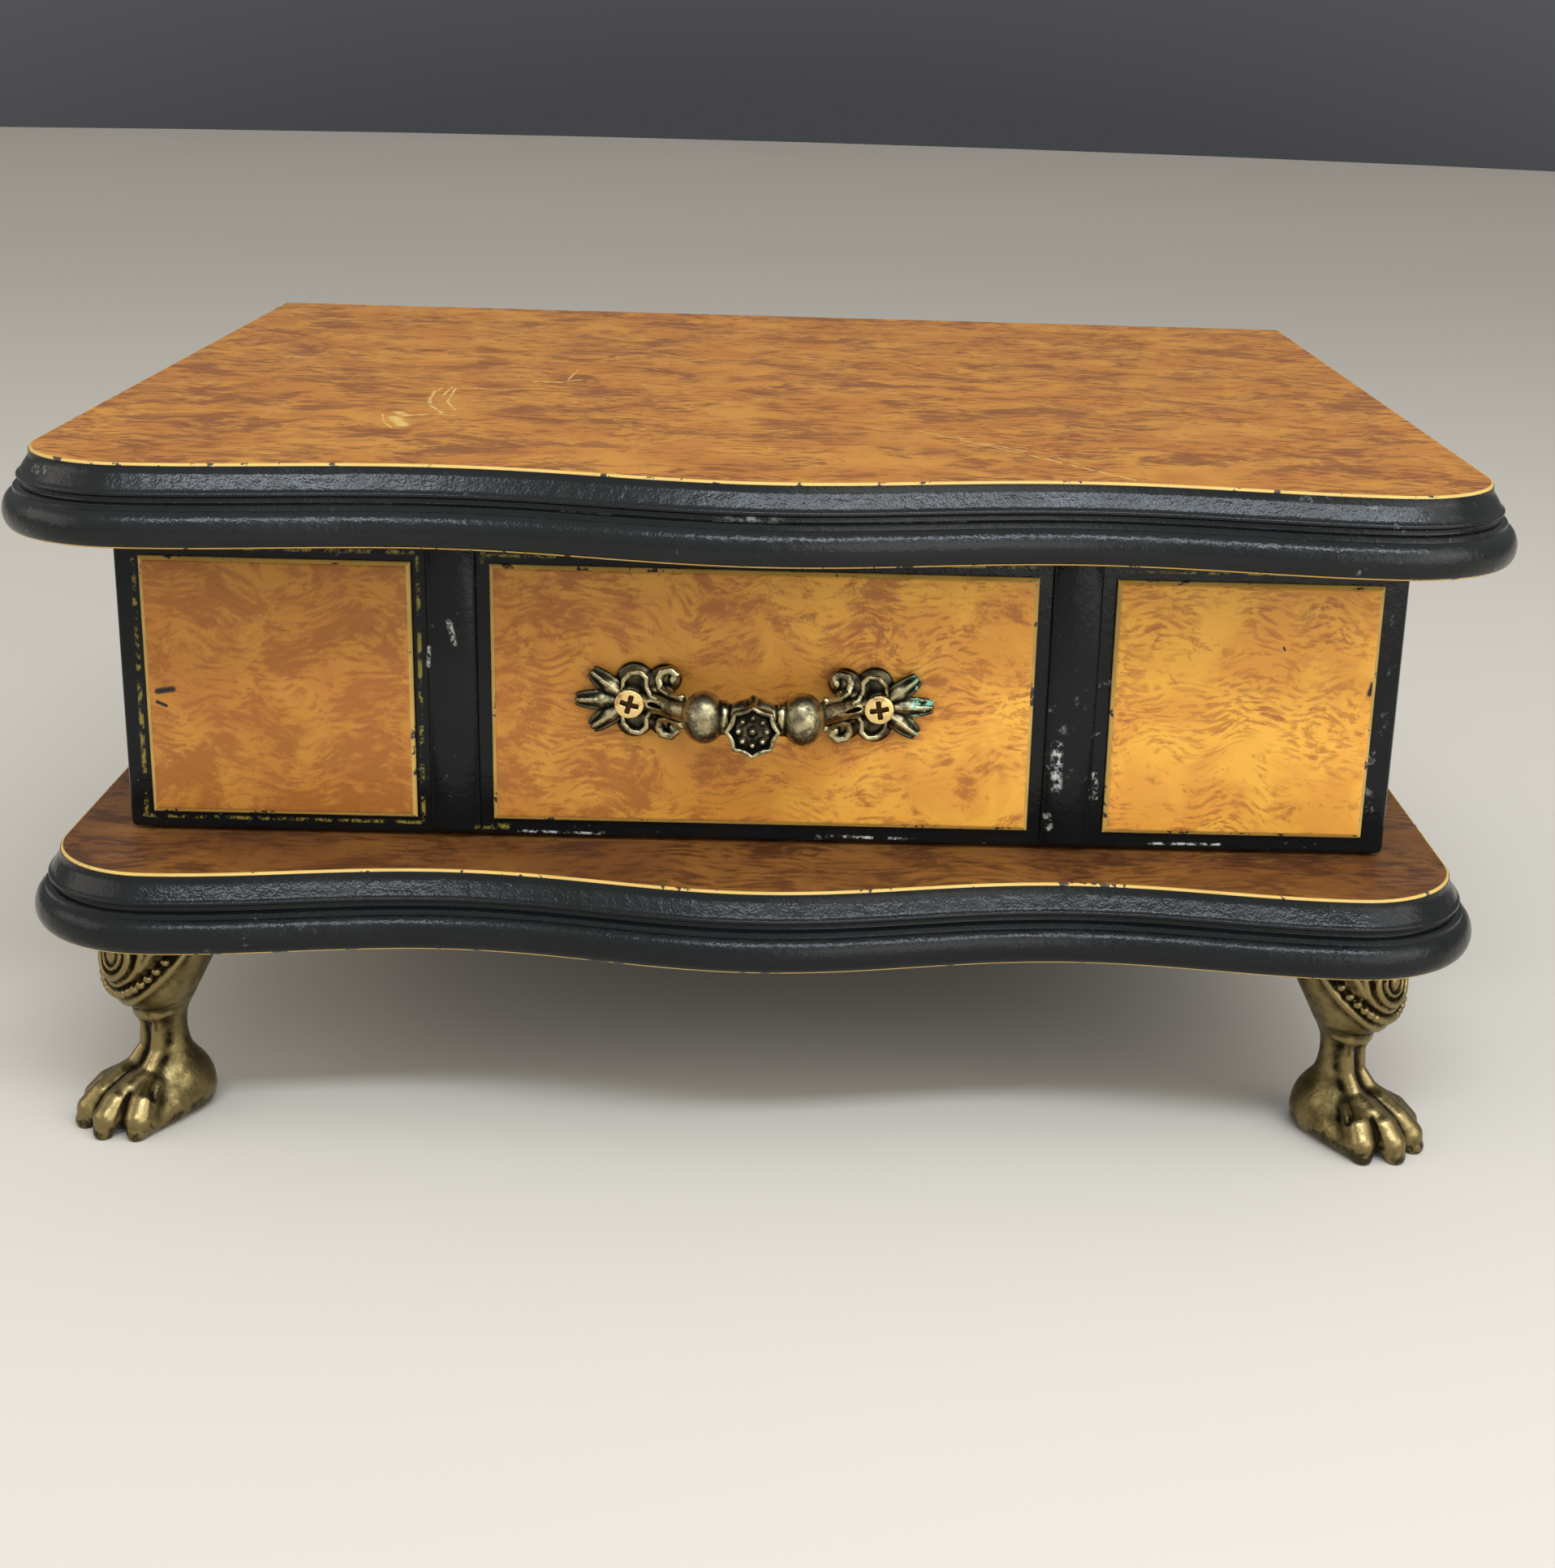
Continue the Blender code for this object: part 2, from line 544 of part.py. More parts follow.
def make_leaf(name, centre, way, knuckles, material, parent):
    """A plate against the back face, with tabs that reach its knuckles."""
    near, far = BACK_Y + GAP, BACK_Y + GAP + LEAF_THICKNESS
    clear = way * (KNUCKLE_RADIUS + 2 * GAP)
    z = sorted((centre.z + clear, centre.z + way * LEAF_HEIGHT))
    half = HINGE_WIDTH / 2
    leaf = make_box(name, (centre.x - half, near, z[0]), (centre.x + half, far, z[1]), material, parent)
    axle = Vector((0, centre.y, centre.z))
    for number, (start, end) in enumerate(knuckles):
        tab_z = sorted((centre.z, centre.z + clear + way * GAP))
        low = (centre.x + start, near, tab_z[0])
        high = (centre.x + end, far, tab_z[1])
        combine(leaf, box_bmesh(low, high), "UNION", f"tab_{number}")
        ends = [axle + Vector((centre.x + x, 0, 0)) for x in (start, end)]
        combine(leaf, cylinder_bmesh(*ends, KNUCKLE_RADIUS), "UNION", f"knuckle_{number}")
    reach = Vector((centre.x + HINGE_WIDTH, 0, 0))
    bore = cylinder_bmesh(axle + Vector((centre.x - HINGE_WIDTH, 0, 0)), axle + reach, PIN_RADIUS + PIN_GAP)
    combine(leaf, bore, "DIFFERENCE", "pin_hole")
    return leaf


def make_lid(materials, parent):
    """The moulded lid with a pocket under it for the lining frame and the mirror. Returns the lid."""
    lid = make_slab("lid_slab", LID_BOTTOM, materials["black"], parent)
    make_veneer("lid_veneer", LID_BOTTOM, materials["top_burl"], parent)
    middle = Vector((0.0, (TRAY_FRONT_Y + INNER_BACK_Y) / 2))
    tray_half = Vector((INNER_X, (INNER_BACK_Y - TRAY_FRONT_Y) / 2))
    lining_half = tray_half - Vector((LINING_MARGIN, LINING_MARGIN))
    mirror_half = lining_half - Vector((LINING_BORDER, LINING_BORDER))
    room = Vector((GAP, GAP))
    floor = LID_BOTTOM + LINING_RECESS
    lining_top = floor + LINING_THICKNESS
    mirror_top = floor + MIRROR_THICKNESS
    below = LID_BOTTOM - SLAB_THICKNESS
    pocket = plate_bmesh(middle, lining_half + room, below, lining_top + GAP)
    combine(lid, pocket, "DIFFERENCE", "lining_pocket")
    deep = plate_bmesh(middle, mirror_half + room, below, mirror_top + GAP)
    combine(lid, deep, "DIFFERENCE", "mirror_pocket")
    frame = plate_bmesh(middle, lining_half, floor, lining_top)
    lining = finish_object("lid_lining", frame, materials["velvet"], parent)
    window = plate_bmesh(middle, mirror_half + room, below, LID_BOTTOM + SLAB_THICKNESS)
    combine(lining, window, "DIFFERENCE", "window")
    glass = plate_bmesh(middle, mirror_half, floor, mirror_top)
    finish_object("mirror", glass, materials["mirror"], parent)
    return lid


def board_levels():
    return BASE_TOP + BOARD_CLEARANCE, LID_BOTTOM - BOARD_CLEARANCE


def field_spans():
    """Name and the two X limits of each raised field on the drawer front."""
    outer = FRONT_WIDTH / 2 - FIELD_SIDE_MARGIN
    open_width = 2 * outer - 2 * STILE_WIDTH
    middle = open_width * MIDDLE_FIELD_SHARE / 2
    side = middle + STILE_WIDTH
    return (("left", -outer, -side), ("centre", -middle, middle), ("right", side, outer))


def field_levels():
    low, high = board_levels()
    return low + FIELD_BOTTOM_MARGIN, high - FIELD_TOP_MARGIN


def make_fields(materials, parent):
    """Raised, bevelled fields. Returns the middle one, which the handle is screwed through."""
    low, high = field_levels()
    steps = ((BOARD_Y - GAP, 0.0), (FACE_Y + FIELD_RAISE / 2, FIELD_BEVEL / 4), (FACE_Y, FIELD_BEVEL))
    made = {}
    for side, left, right in field_spans():
        rings = []
        for y, inset in steps:
            x0, x1, z0, z1 = left + inset, right - inset, low + inset, high - inset
            rings.append([(x0, y, z0), (x1, y, z0), (x1, y, z1), (x0, y, z1)])
        name = f"front_field_{side}"
        made[side] = finish_object(name, loft_bmesh(rings), materials["field_burl"], parent)
    return made["centre"]


def make_bars(materials, parent):
    """Half-round bars that stand between the fields, over the full height of the front."""
    low, high = board_levels()
    spans = field_spans()
    margin = BOARD_BEVEL + GAP
    for side, left, right in (("left", spans[0][2], spans[1][1]), ("right", spans[1][2], spans[2][1])):
        centre = (left + right) / 2
        plan = []
        for i in range(11):
            turn = math.pi * i / 10
            y = BOARD_Y - GAP - BAR_HEIGHT * math.sin(turn)
            plan.append((centre - BAR_WIDTH / 2 * math.cos(turn), y))
        rings = [[(x, y, z) for x, y in plan] for z in (low + margin, high - margin)]
        finish_object(f"front_bar_{side}", loft_bmesh(rings), materials["black"], parent, 40)


def make_drawer_box(materials, parent):
    wood = materials["wood"]
    half = INNER_X - SLIDE_GAP
    low_z = CASE_BOTTOM + RUNNER_HEIGHT + GAP
    side_top = TRAY_FLOOR_BOTTOM - GAP - STOP_SIZE.z - SLIDE_GAP
    front_y = CASE_FRONT_Y
    back_face = drawer_back_front_face()
    for side, sign in (("left", -1), ("right", 1)):
        x = sorted((sign * half, sign * (half - DRAWER_SIDE_THICKNESS)))
        high = (x[1], back_face + DRAWER_SIDE_THICKNESS, side_top)
        make_box(f"drawer_side_{side}", (x[0], front_y, low_z), high, wood, parent)
    inner = half - DRAWER_SIDE_THICKNESS - GAP
    back_top = TRAY_FLOOR_BOTTOM - SLIDE_GAP
    high = (inner, back_face + DRAWER_SIDE_THICKNESS, back_top)
    make_box("drawer_back", (-inner, back_face, low_z), high, wood, parent)
    floor_top = low_z + DRAWER_BOTTOM_THICKNESS
    make_box("drawer_bottom", (-inner, front_y, low_z), (inner, back_face - GAP, floor_top), wood, parent)
    pad_low = floor_top + GAP
    pad_top = pad_low + DRAWER_PAD_THICKNESS
    pad_high = (inner, back_face - GAP, pad_top)
    make_box("drawer_pad", (-inner, front_y, pad_low), pad_high, materials["velvet"], parent)
    divider_low = (-DIVIDER_THICKNESS / 2, front_y, pad_top + GAP)
    divider_high = (DIVIDER_THICKNESS / 2, back_face - GAP, side_top - DRAWER_DIVIDER_DROP)
    make_box("drawer_divider", divider_low, divider_high, materials["velvet"], parent)


def rosette_reach(turn):
    """How far the rosette's edge stands from its screw: a hub with leaves, curls and hooks."""
    reach = ROSETTE_HUB
    for place, length, width in ROSETTE_LOBES:
        for mirrored in sorted({place, -place}):
            away = math.remainder(turn - math.radians(mirrored), 2 * math.pi)
            reach += (length - ROSETTE_HUB) * math.exp(-((away / math.radians(width)) ** 2))
    return reach


def rosette_bmesh(centre, sign):
    plan = []
    for i in range(ROSETTE_SIDES):
        turn = 2 * math.pi * i / ROSETTE_SIDES
        length = rosette_reach(turn)
        plan.append((centre.x + sign * length * math.cos(turn), centre.z + length * math.sin(turn)))
    back = centre.y
    return loft_bmesh([[(x, y, z) for x, z in plan] for y in (back, back - ROSETTE_THICKNESS)])


def arm_bmesh(centre, sign):
    """The rib that rises from the rosette to the ball, as a bent bar with an oval section."""
    start_x = HANDLE_SCREW_SPACING / 2 - ARM_INSET
    span = start_x - BALL_OFFSET
    rise = GRIP_STANDOFF - ROSETTE_THICKNESS / 2
    rings = []
    for i in range(ARM_STEPS + 1):
        turn = math.pi / 2 * i / ARM_STEPS
        x = start_x - span * math.sin(turn)
        y = -ROSETTE_THICKNESS / 2 - rise * (1 - math.cos(turn))
        across = Vector((math.cos(turn) * rise, -math.sin(turn) * span)).normalized()
        ring = []
        for k in range(ARM_SIDES):
            angle = 2 * math.pi * k / ARM_SIDES
            out = ARM_HALF_THICKNESS * math.cos(angle)
            place = (centre.x + sign * (x + out * across.x), centre.y + y + out * across.y)
            ring.append((*place, centre.z + ARM_HALF_HEIGHT * math.sin(angle)))
        rings.append(ring)
    return loft_bmesh(rings)


def medallion_bmesh(centre):
    """A flat star of eight soft points on the front of the grip."""
    front = centre.y - GRIP_STANDOFF - GRIP_RADIUS - MEDALLION_THICKNESS
    rings = []
    for y in (front, front + MEDALLION_THICKNESS + GRIP_RADIUS):
        ring = []
        for i in range(32):
            turn = 2 * math.pi * i / 32
            radius = MEDALLION_RADIUS * (1 - MEDALLION_SCALLOP * (1 - math.cos(MEDALLION_POINTS * turn)))
            z = centre.z - MEDALLION_DROP + radius * math.sin(turn)
            ring.append((centre.x + radius * math.cos(turn), y, z))
        rings.append(ring)
    return loft_bmesh(rings)


def make_handle(field, board, materials, parent):
    low, high = field_levels()
    centre = Vector((HANDLE_OFFSET, FACE_Y - GAP, (low + high) / 2))
    grip_y = centre.y - GRIP_STANDOFF
    ends = [Vector((centre.x + x, grip_y, centre.z)) for x in (-BALL_OFFSET, BALL_OFFSET)]
    grip = cylinder_bmesh(*ends, GRIP_RADIUS)
    handle = finish_object("handle", grip, materials["bronze"], parent, 45)
    combine(handle, medallion_bmesh(centre), "UNION", "medallion")
    for side, sign in (("left", -1), ("right", 1)):
        ball = Vector((centre.x + sign * BALL_OFFSET, grip_y, centre.z))
        combine(handle, ellipsoid_bmesh(ball, BALL_RADII), "UNION", f"ball_{side}")
        combine(handle, arm_bmesh(centre, sign), "UNION", f"arm_{side}")
        hub = Vector((centre.x + sign * HANDLE_SCREW_SPACING / 2, centre.y, centre.z))
        combine(handle, rosette_bmesh(hub, sign), "UNION", f"rosette_{side}")
        seat = hub + Vector((0, -ROSETTE_THICKNESS - GAP, 0))
        tip = seat + Vector((0, HANDLE_SCREW["length"] + HOLE_GAP, 0))
        for thing in (handle, field, board):
            drill(thing, seat, tip, HANDLE_SCREW["shank"] + HOLE_GAP, f"screw_hole_{side}")
        make_screw(f"handle_screw_{side}", seat, (0, -1, 0), HANDLE_SCREW, materials["brass"], parent)


def make_drawer(materials, parent):
    low, high = board_levels()
    half = FRONT_WIDTH / 2
    board = make_box("drawer_front", (-half, BOARD_Y, low), (half, BOARD_Y + BOARD_THICKNESS, high),
                     materials["black"], parent, bevel=BOARD_BEVEL)
    field = make_fields(materials, parent)
    make_bars(materials, parent)
    make_drawer_box(materials, parent)
    make_handle(field, board, materials, parent)


def make_body(name, location):
    """An empty on a body's joint, which its pieces hang from."""
    body = bpy.data.objects.new(name, None)
    body.location = location
    bpy.context.scene.collection.objects.link(body)
    return body


def main():
    clear_scene()
    materials = make_materials()
    case_body = make_body("case_body", (0, 0, 0))
    lid_body = make_body("lid_body", HINGE_AXIS)
    drawer_body = make_body("drawer_body", DRAWER_ORIGIN)
    make_base(materials, case_body)
    back = make_case(materials, case_body)
    make_runners(materials, case_body)
    make_drawer_stop(materials, case_body)
    make_tray_fittings(materials, case_body)
    lid = make_lid(materials, lid_body)
    for side, sign in (("left", -1), ("right", 1)):
        make_hinge(side, sign, back, lid, materials, case_body, lid_body)
    make_drawer(materials, drawer_body)


main()
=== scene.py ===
import json
import math

import bmesh
import bpy
import numpy as np
from mathutils import Matrix, Vector
from mathutils.noise import noise as smooth_noise

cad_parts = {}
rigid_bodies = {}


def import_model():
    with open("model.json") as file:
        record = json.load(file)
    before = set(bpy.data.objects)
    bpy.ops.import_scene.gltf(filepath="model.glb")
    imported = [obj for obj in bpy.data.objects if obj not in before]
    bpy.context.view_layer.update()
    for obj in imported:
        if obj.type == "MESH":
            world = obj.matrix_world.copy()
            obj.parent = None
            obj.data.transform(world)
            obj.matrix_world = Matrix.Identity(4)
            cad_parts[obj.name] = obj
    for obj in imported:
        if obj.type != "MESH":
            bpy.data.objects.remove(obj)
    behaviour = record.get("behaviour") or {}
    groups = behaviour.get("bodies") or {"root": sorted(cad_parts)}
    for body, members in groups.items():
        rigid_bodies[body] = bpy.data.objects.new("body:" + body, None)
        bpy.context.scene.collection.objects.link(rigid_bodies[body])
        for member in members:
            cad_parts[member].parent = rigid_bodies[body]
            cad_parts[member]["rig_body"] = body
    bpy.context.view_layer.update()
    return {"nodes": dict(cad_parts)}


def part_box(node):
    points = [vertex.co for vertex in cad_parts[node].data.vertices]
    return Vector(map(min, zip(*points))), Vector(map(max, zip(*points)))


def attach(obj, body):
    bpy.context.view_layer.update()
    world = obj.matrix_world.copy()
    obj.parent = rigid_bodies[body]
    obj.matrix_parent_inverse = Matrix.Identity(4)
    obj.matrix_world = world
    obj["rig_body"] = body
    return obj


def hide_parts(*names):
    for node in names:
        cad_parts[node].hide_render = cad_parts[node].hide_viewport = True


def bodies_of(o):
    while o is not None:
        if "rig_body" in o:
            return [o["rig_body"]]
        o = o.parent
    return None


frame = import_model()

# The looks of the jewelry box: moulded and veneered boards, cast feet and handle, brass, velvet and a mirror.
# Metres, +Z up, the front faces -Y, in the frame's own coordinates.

MM = 0.001


def mm(*values):
    """Values in millimetres, as metres."""
    return tuple(value * MM for value in values)


def body_of(node):
    """The body that a CAD node rides on."""
    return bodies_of(frame["nodes"][node])[0]


def add_object(name, data):
    """A new object in the scene."""
    added = bpy.data.objects.new(name, data)
    bpy.context.scene.collection.objects.link(added)
    return added


# ---------------------------------------------------------------- places from the frame
base_low, base_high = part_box("base_slab")
lid_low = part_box("lid_slab")[0]
FRONT_WAVE = 2.9 * MM  # bulge at the middle and near each corner of the boards' front
FRONT_CROWN = 1.1 * MM  # extra bulge at the middle only
CORNER_RADIUS = 22 * MM
LID_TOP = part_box("lid_veneer")[1].z
HALF_WIDTH = base_high.x
BACK_Y = base_high.y
MEAN_FRONT_Y = base_low.y + FRONT_WAVE + FRONT_CROWN
VENEER_INSET = 4.6 * MM
FOOT_INSET = 19.7 * MM
LEFT_RIGHT = (("left", -1), ("right", 1))

# ---------------------------------------------------------------- camera
CAMERA_PLACE = (0.0067, -0.4339, 0.1787)
CAMERA_TURN = (72.26, -1.68, -0.85)  # degrees
CAMERA_LENS = 52.9
CAMERA_SHIFT = (-0.0504, -0.0211)
SENSOR_WIDTH = 36


# ================================================================ materials
class Look:
    """A material, and short ways to add and join its nodes."""

    def __init__(self, name, roughness=0.5, metallic=0.0):
        self.material = bpy.data.materials.new(name)
        self.material.use_nodes = True
        self.tree = self.material.node_tree
        self.shader = self.tree.nodes["Principled BSDF"]
        self.set(self.shader, {"Roughness": roughness, "Metallic": metallic})
        self.place = self.add("ShaderNodeTexCoord").outputs["Object"]

    def set(self, node, inputs):
        for key, value in inputs.items():
            if isinstance(value, bpy.types.NodeSocket):
                self.tree.links.new(value, node.inputs[key])
            else:
                node.inputs[key].default_value = value

    def add(self, kind, inputs=None, **settings):
        node = self.tree.nodes.new(kind)
        for key, value in settings.items():
            setattr(node, key, value)
        self.set(node, inputs or {})
        return node

    def math(self, operation, a, b, clamp=False):
        node = self.add("ShaderNodeMath", {0: a, 1: b}, operation=operation, use_clamp=clamp)
        return node.outputs[0]

    def times(self, a, b):
        return self.math("MULTIPLY", a, b)

    def stir(self, value, noise, share):
        """A value moved up and down by a noise."""
        return self.math("ADD", value, self.times(self.math("SUBTRACT", noise, 0.5), share))

    def vector(self, operation, a, b, output=0):
        """b is a number when the operation is SCALE."""
        inputs = {0: a, "Scale" if operation == "SCALE" else 1: b}
        return self.add("ShaderNodeVectorMath", inputs, operation=operation).outputs[output]

    def coordinate(self, axis):
        return self.add("ShaderNodeSeparateXYZ", {0: self.place}).outputs[axis]

    def hollow(self):
        """What store_hollows found on the mesh."""
        return self.add("ShaderNodeAttribute", attribute_name="hollow").outputs["Fac"]

    def stretch(self, scales, turn=(0.0, 0.0, 0.0), move=(0.0, 0.0, 0.0), place=None):
        inputs = {"Vector": place or self.place, "Scale": scales, "Rotation": turn, "Location": move}
        return self.add("ShaderNodeMapping", inputs).outputs[0]

    def noise(self, scale, detail=3.0, roughness=0.55, distortion=0.0, place=None):
        inputs = {"Vector": place or self.place, "Scale": scale, "Detail": detail}
        inputs.update({"Roughness": roughness, "Distortion": distortion})
        return self.add("ShaderNodeTexNoise", inputs).outputs["Fac"]

    def between(self, value, low, high, to_low=0.0, to_high=1.0):
        inputs = {"Value": value, "From Min": low, "From Max": high, "To Min": to_low, "To Max": to_high}
        return self.add("ShaderNodeMapRange", inputs, interpolation_type="SMOOTHSTEP").outputs[0]

    def mix(self, share, a, b):
        node = self.add("ShaderNodeMix", data_type="RGBA")
        for index, value in ((0, share), (6, a), (7, b)):
            if not isinstance(value, bpy.types.NodeSocket) and index:
                value = (*value, 1.0)
            self.set(node, {index: value})
        return node.outputs[2]

    def bump(self, height, depth, normal=None):
        inputs = {"Height": height, "Distance": depth, "Strength": 1.0}
        if normal is not None:
            inputs["Normal"] = normal
        return self.add("ShaderNodeBump", inputs).outputs[0]

    def finish(self, colour, normal=None, roughness=None, plain=None):
        """Joins what varies to the shader, and sets plain values on its own sockets."""
        for key, value in (("Base Color", colour), ("Normal", normal), ("Roughness", roughness)):
            if value is not None:
                self.set(self.shader, {key: value})
        self.set(self.shader, plain or {})
        return self.material


def segment_mask(look, start, end, half_width, place=None):
    """1 along a thin line between two points, 0 away from it."""
    start, end = Vector(start), Vector(end)
    run = end - start
    offset = look.vector("SUBTRACT", place or look.place, tuple(start))
    along = look.vector("DOT_PRODUCT", offset, tuple(run), "Value")
    share = look.math("DIVIDE", along, run.length_squared, clamp=True)
    nearest = look.vector("SCALE", tuple(run), share)
    away = look.vector("DISTANCE", offset, nearest, "Value")
    return look.between(away, half_width, 0.3 * half_width)


def paint_look(name, gloss, wear=0.5, lines=(), seen_along=(1, 1, 1)):
    """Satin black paint, brushed on thick, with orange peel, pale scuffs and dust.

    lines are (start, end, half width, colour) where something else shows through. A zero in
    seen_along carries them through the whole piece on that axis."""
    look = Look(name)
    peel = look.noise(560, 3, 0.5)
    grain = look.noise(2600, 2, 0.5)
    bump = look.bump(peel, 0.12 * MM)
    bump = look.bump(grain, 0.05 * MM, bump)
    tone = look.mix(look.noise(90, 4, 0.6), (0.0025, 0.0034, 0.0040), (0.0065, 0.0082, 0.0092))
    spots = look.noise(420, 6, 0.75)
    region = look.noise(38, 2, 0.5)
    worn = look.math("ADD", spots, look.times(region, 0.35))
    scuffed = look.between(worn, 0.89 - 0.08 * wear, 0.97 - 0.08 * wear)
    tone = look.mix(look.times(scuffed, 0.55), tone, (0.22, 0.23, 0.22))
    patchy = look.between(look.noise(520, 4, 0.75), 0.46, 0.60)
    flat = look.stretch(seen_along)
    for start, end, width, colour in lines:
        mark = look.times(segment_mask(look, start, end, width, flat), patchy)
        tone = look.mix(mark, tone, colour)
    rough = look.between(look.noise(150, 3), 0.3, 0.7, 0.16, 0.26)
    return look.finish(tone, bump, rough, {"Specular IOR Level": gloss})


def edge_look(name, light, dark, chips):
    """The yellow ground that shows where the black paint was wiped off an edge, with small black chips."""
    look = Look(name, 0.42)
    tone = look.mix(look.noise(160, 3), dark, light)
    chipped = look.between(look.noise(260, 4, 0.7), 0.68 - 0.1 * chips, 0.70 - 0.1 * chips)
    tone = look.mix(chipped, tone, (0.030, 0.029, 0.026))
    return look.finish(tone, look.bump(look.noise(900, 2), 0.06 * MM))


def burl_colour(look, tones, scale, grain_turn, density=0.0):
    """Printed burl: grainy brown clouds on a yellow ground, drawn with fine rippled strokes.

    tones are the light and middle ground and the dark clouds, and density shifts how much of the
    surface the clouds take."""
    light, middle, dark = tones
    drift = look.add("ShaderNodeTexNoise", {"Vector": look.place, "Scale": 0.5 * scale, "Detail": 1.0})
    swirl = look.vector("SUBTRACT", drift.outputs["Color"], (0.5, 0.5, 0.5))
    swirl = look.vector("SCALE", swirl, 11 * MM)
    bent = look.vector("ADD", look.place, swirl)
    along = look.stretch((0.24, 1.0, 1.0), turn=grain_turn, place=bent)
    strokes = look.noise(8.5 * scale, 2, 0.55, 0.2, along)
    speckle = look.noise(20 * scale, 3, 0.75)
    clouds = look.noise(scale, 5, 0.62, 0.25, look.stretch((0.7, 1.0, 1.0), turn=grain_turn, place=bent))
    edge = look.stir(look.stir(clouds, strokes, 0.48), speckle, 0.30)
    edge = look.math("ADD", edge, density)
    ground = look.noise(0.55 * scale, 3, place=bent)
    tone = look.mix(look.between(ground, 0.38, 0.62), light, middle)
    tone = look.mix(look.between(edge, 0.45, 0.66, 0.0, 0.88), tone, dark)
    moved = look.stretch((1, 1, 1), move=(3, 1, 2))
    ripple_zone = look.between(look.noise(0.38 * scale, 1, place=moved), 0.40, 0.56)
    ripples = look.between(strokes, 0.46, 0.62)
    share = look.times(look.times(ripple_zone, ripples), 0.62)
    tone = look.mix(share, tone, dark)
    deep = look.between(look.noise(2.4 * scale, 4, 0.65, 0.3, bent), 0.58, 0.72, 0.0, 0.45)
    return look.mix(deep, tone, tuple(0.6 * c for c in dark))


def lacquer(look, tone):
    fine = look.bump(look.noise(1400, 2), 0.012 * MM)
    rough = look.between(look.noise(60, 4), 0.3, 0.7, 0.38, 0.50)
    return look.finish(tone, fine, rough, {"Specular IOR Level": 0.3})


# Black specks on the drawer's fields: start, end and half width.
FIELD_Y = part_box("front_field_left")[0].y
FIELD_SPOTS = (
    ((-0.0972, FIELD_Y, 0.0718), (-0.0948, FIELD_Y, 0.0722), 0.75 * MM),
    ((-0.0974, FIELD_Y, 0.0700), (-0.0960, FIELD_Y, 0.0694), 0.45 * MM),
    ((0.0986, FIELD_Y, 0.0778), (0.0982, FIELD_Y, 0.0762), 0.70 * MM),
    ((0.0836, FIELD_Y, 0.0836), (0.0838, FIELD_Y, 0.0832), 0.30 * MM),
)


def field_burl_look():
    look = Look("field_burl")
    across = look.coordinate("X")
    # more dark clouds towards the left: partly the print, and partly painted shade, as if the light came from
    # the right
    density = look.between(across, -80 * MM, 80 * MM, 0.055, -0.085)
    tones = (0.78, 0.395, 0.056), (0.68, 0.30, 0.045), (0.36, 0.125, 0.026)
    tone = burl_colour(look, tones, 145, (0, 0.1, 0), density)
    # painted shade: the fields darken towards the left, as if the light came from the right
    tone = look.mix(look.between(across, 50 * MM, -70 * MM, 0.0, 0.62), tone, (0.27, 0.092, 0.018))
    for start, end, width in FIELD_SPOTS:
        mark = segment_mask(look, start, end, width)
        tone = look.mix(mark, tone, (0.012, 0.012, 0.012))
    return lacquer(look, tone)


# Scratches on the lid's top, in mm: (from x, from y, to x, to y, half width). Another script made this
# table, from points read off the photo: see the open fault in report.md.
SCRATCHES = (
    (-65.3, -47.0, -63.6, -54.8, 0.25), (-63.6, -54.8, -61.5, -59.9, 0.25),
    (-61.5, -59.9, -59.3, -60.4, 0.22),
    (-62.8, -49.9, -60.1, -57.4, 1.6), (-63.1, -45.0, -61.2, -48.0, 1.3), (-61.5, -48.0, -56.2, -45.6, 0.7),
    (-56.2, -45.6, -53.3, -46.7, 0.35), (-55.6, -44.6, -58.7, -37.5, 0.45), (-58.7, -37.5, -60.0, -30.8, 0.5),
    (-60.0, -30.8, -60.5, -21.8, 0.4), (-60.5, -21.8, -59.8, -17.9, 0.3), (-58.4, -26.0, -58.2, -16.7, 0.3),
    (-54.0, -41.0, -56.6, -32.9, 0.3), (-56.6, -32.9, -57.4, -17.5, 0.28), (-55.1, -17.1, -49.9, -18.1, 0.5),
    (-49.9, -18.1, -48.0, -17.8, 0.22), (-44.3, -7.5, -39.8, -7.7, 0.9), (-39.8, -7.7, -36.2, -4.1, 0.5),
    (-38.6, -4.5, -38.0, 7.8, 0.25), (-35.4, -28.4, -34.7, -30.1, 0.5), (-93.0, 14.7, -89.8, 14.2, 0.5),
    (24.5, -49.0, 41.3, -69.0, 0.22), (41.3, -69.0, 56.3, -88.4, 0.35), (31.0, -55.7, 41.1, -66.1, 0.3),
    (38.8, -58.4, 49.0, -76.2, 0.15), (21.3, 33.2, 28.9, 21.3, 0.2), (-12.4, 16.8, -5.9, 9.5, 0.15),
)


def top_burl_look():
    look = Look("top_burl")
    tones = (0.58, 0.250, 0.039), (0.48, 0.182, 0.030), (0.230, 0.074, 0.019)
    tone = burl_colour(look, tones, 112, (0, 0, 0.15))
    worn = None
    for x0, y0, x1, y1, width in SCRATCHES:
        mark = segment_mask(look, (x0 * MM, y0 * MM, LID_TOP), (x1 * MM, y1 * MM, LID_TOP), width * MM)
        worn = mark if worn is None else look.math("MAXIMUM", worn, mark)
    broken = look.between(look.noise(500, 3, 0.7), 0.36, 0.5)
    tone = look.mix(look.times(worn, broken), tone, (0.72, 0.48, 0.14))
    specks = look.between(look.noise(330, 4, 0.8), 0.765, 0.79)
    tone = look.mix(specks, tone, (0.75, 0.55, 0.28))
    return lacquer(look, tone)


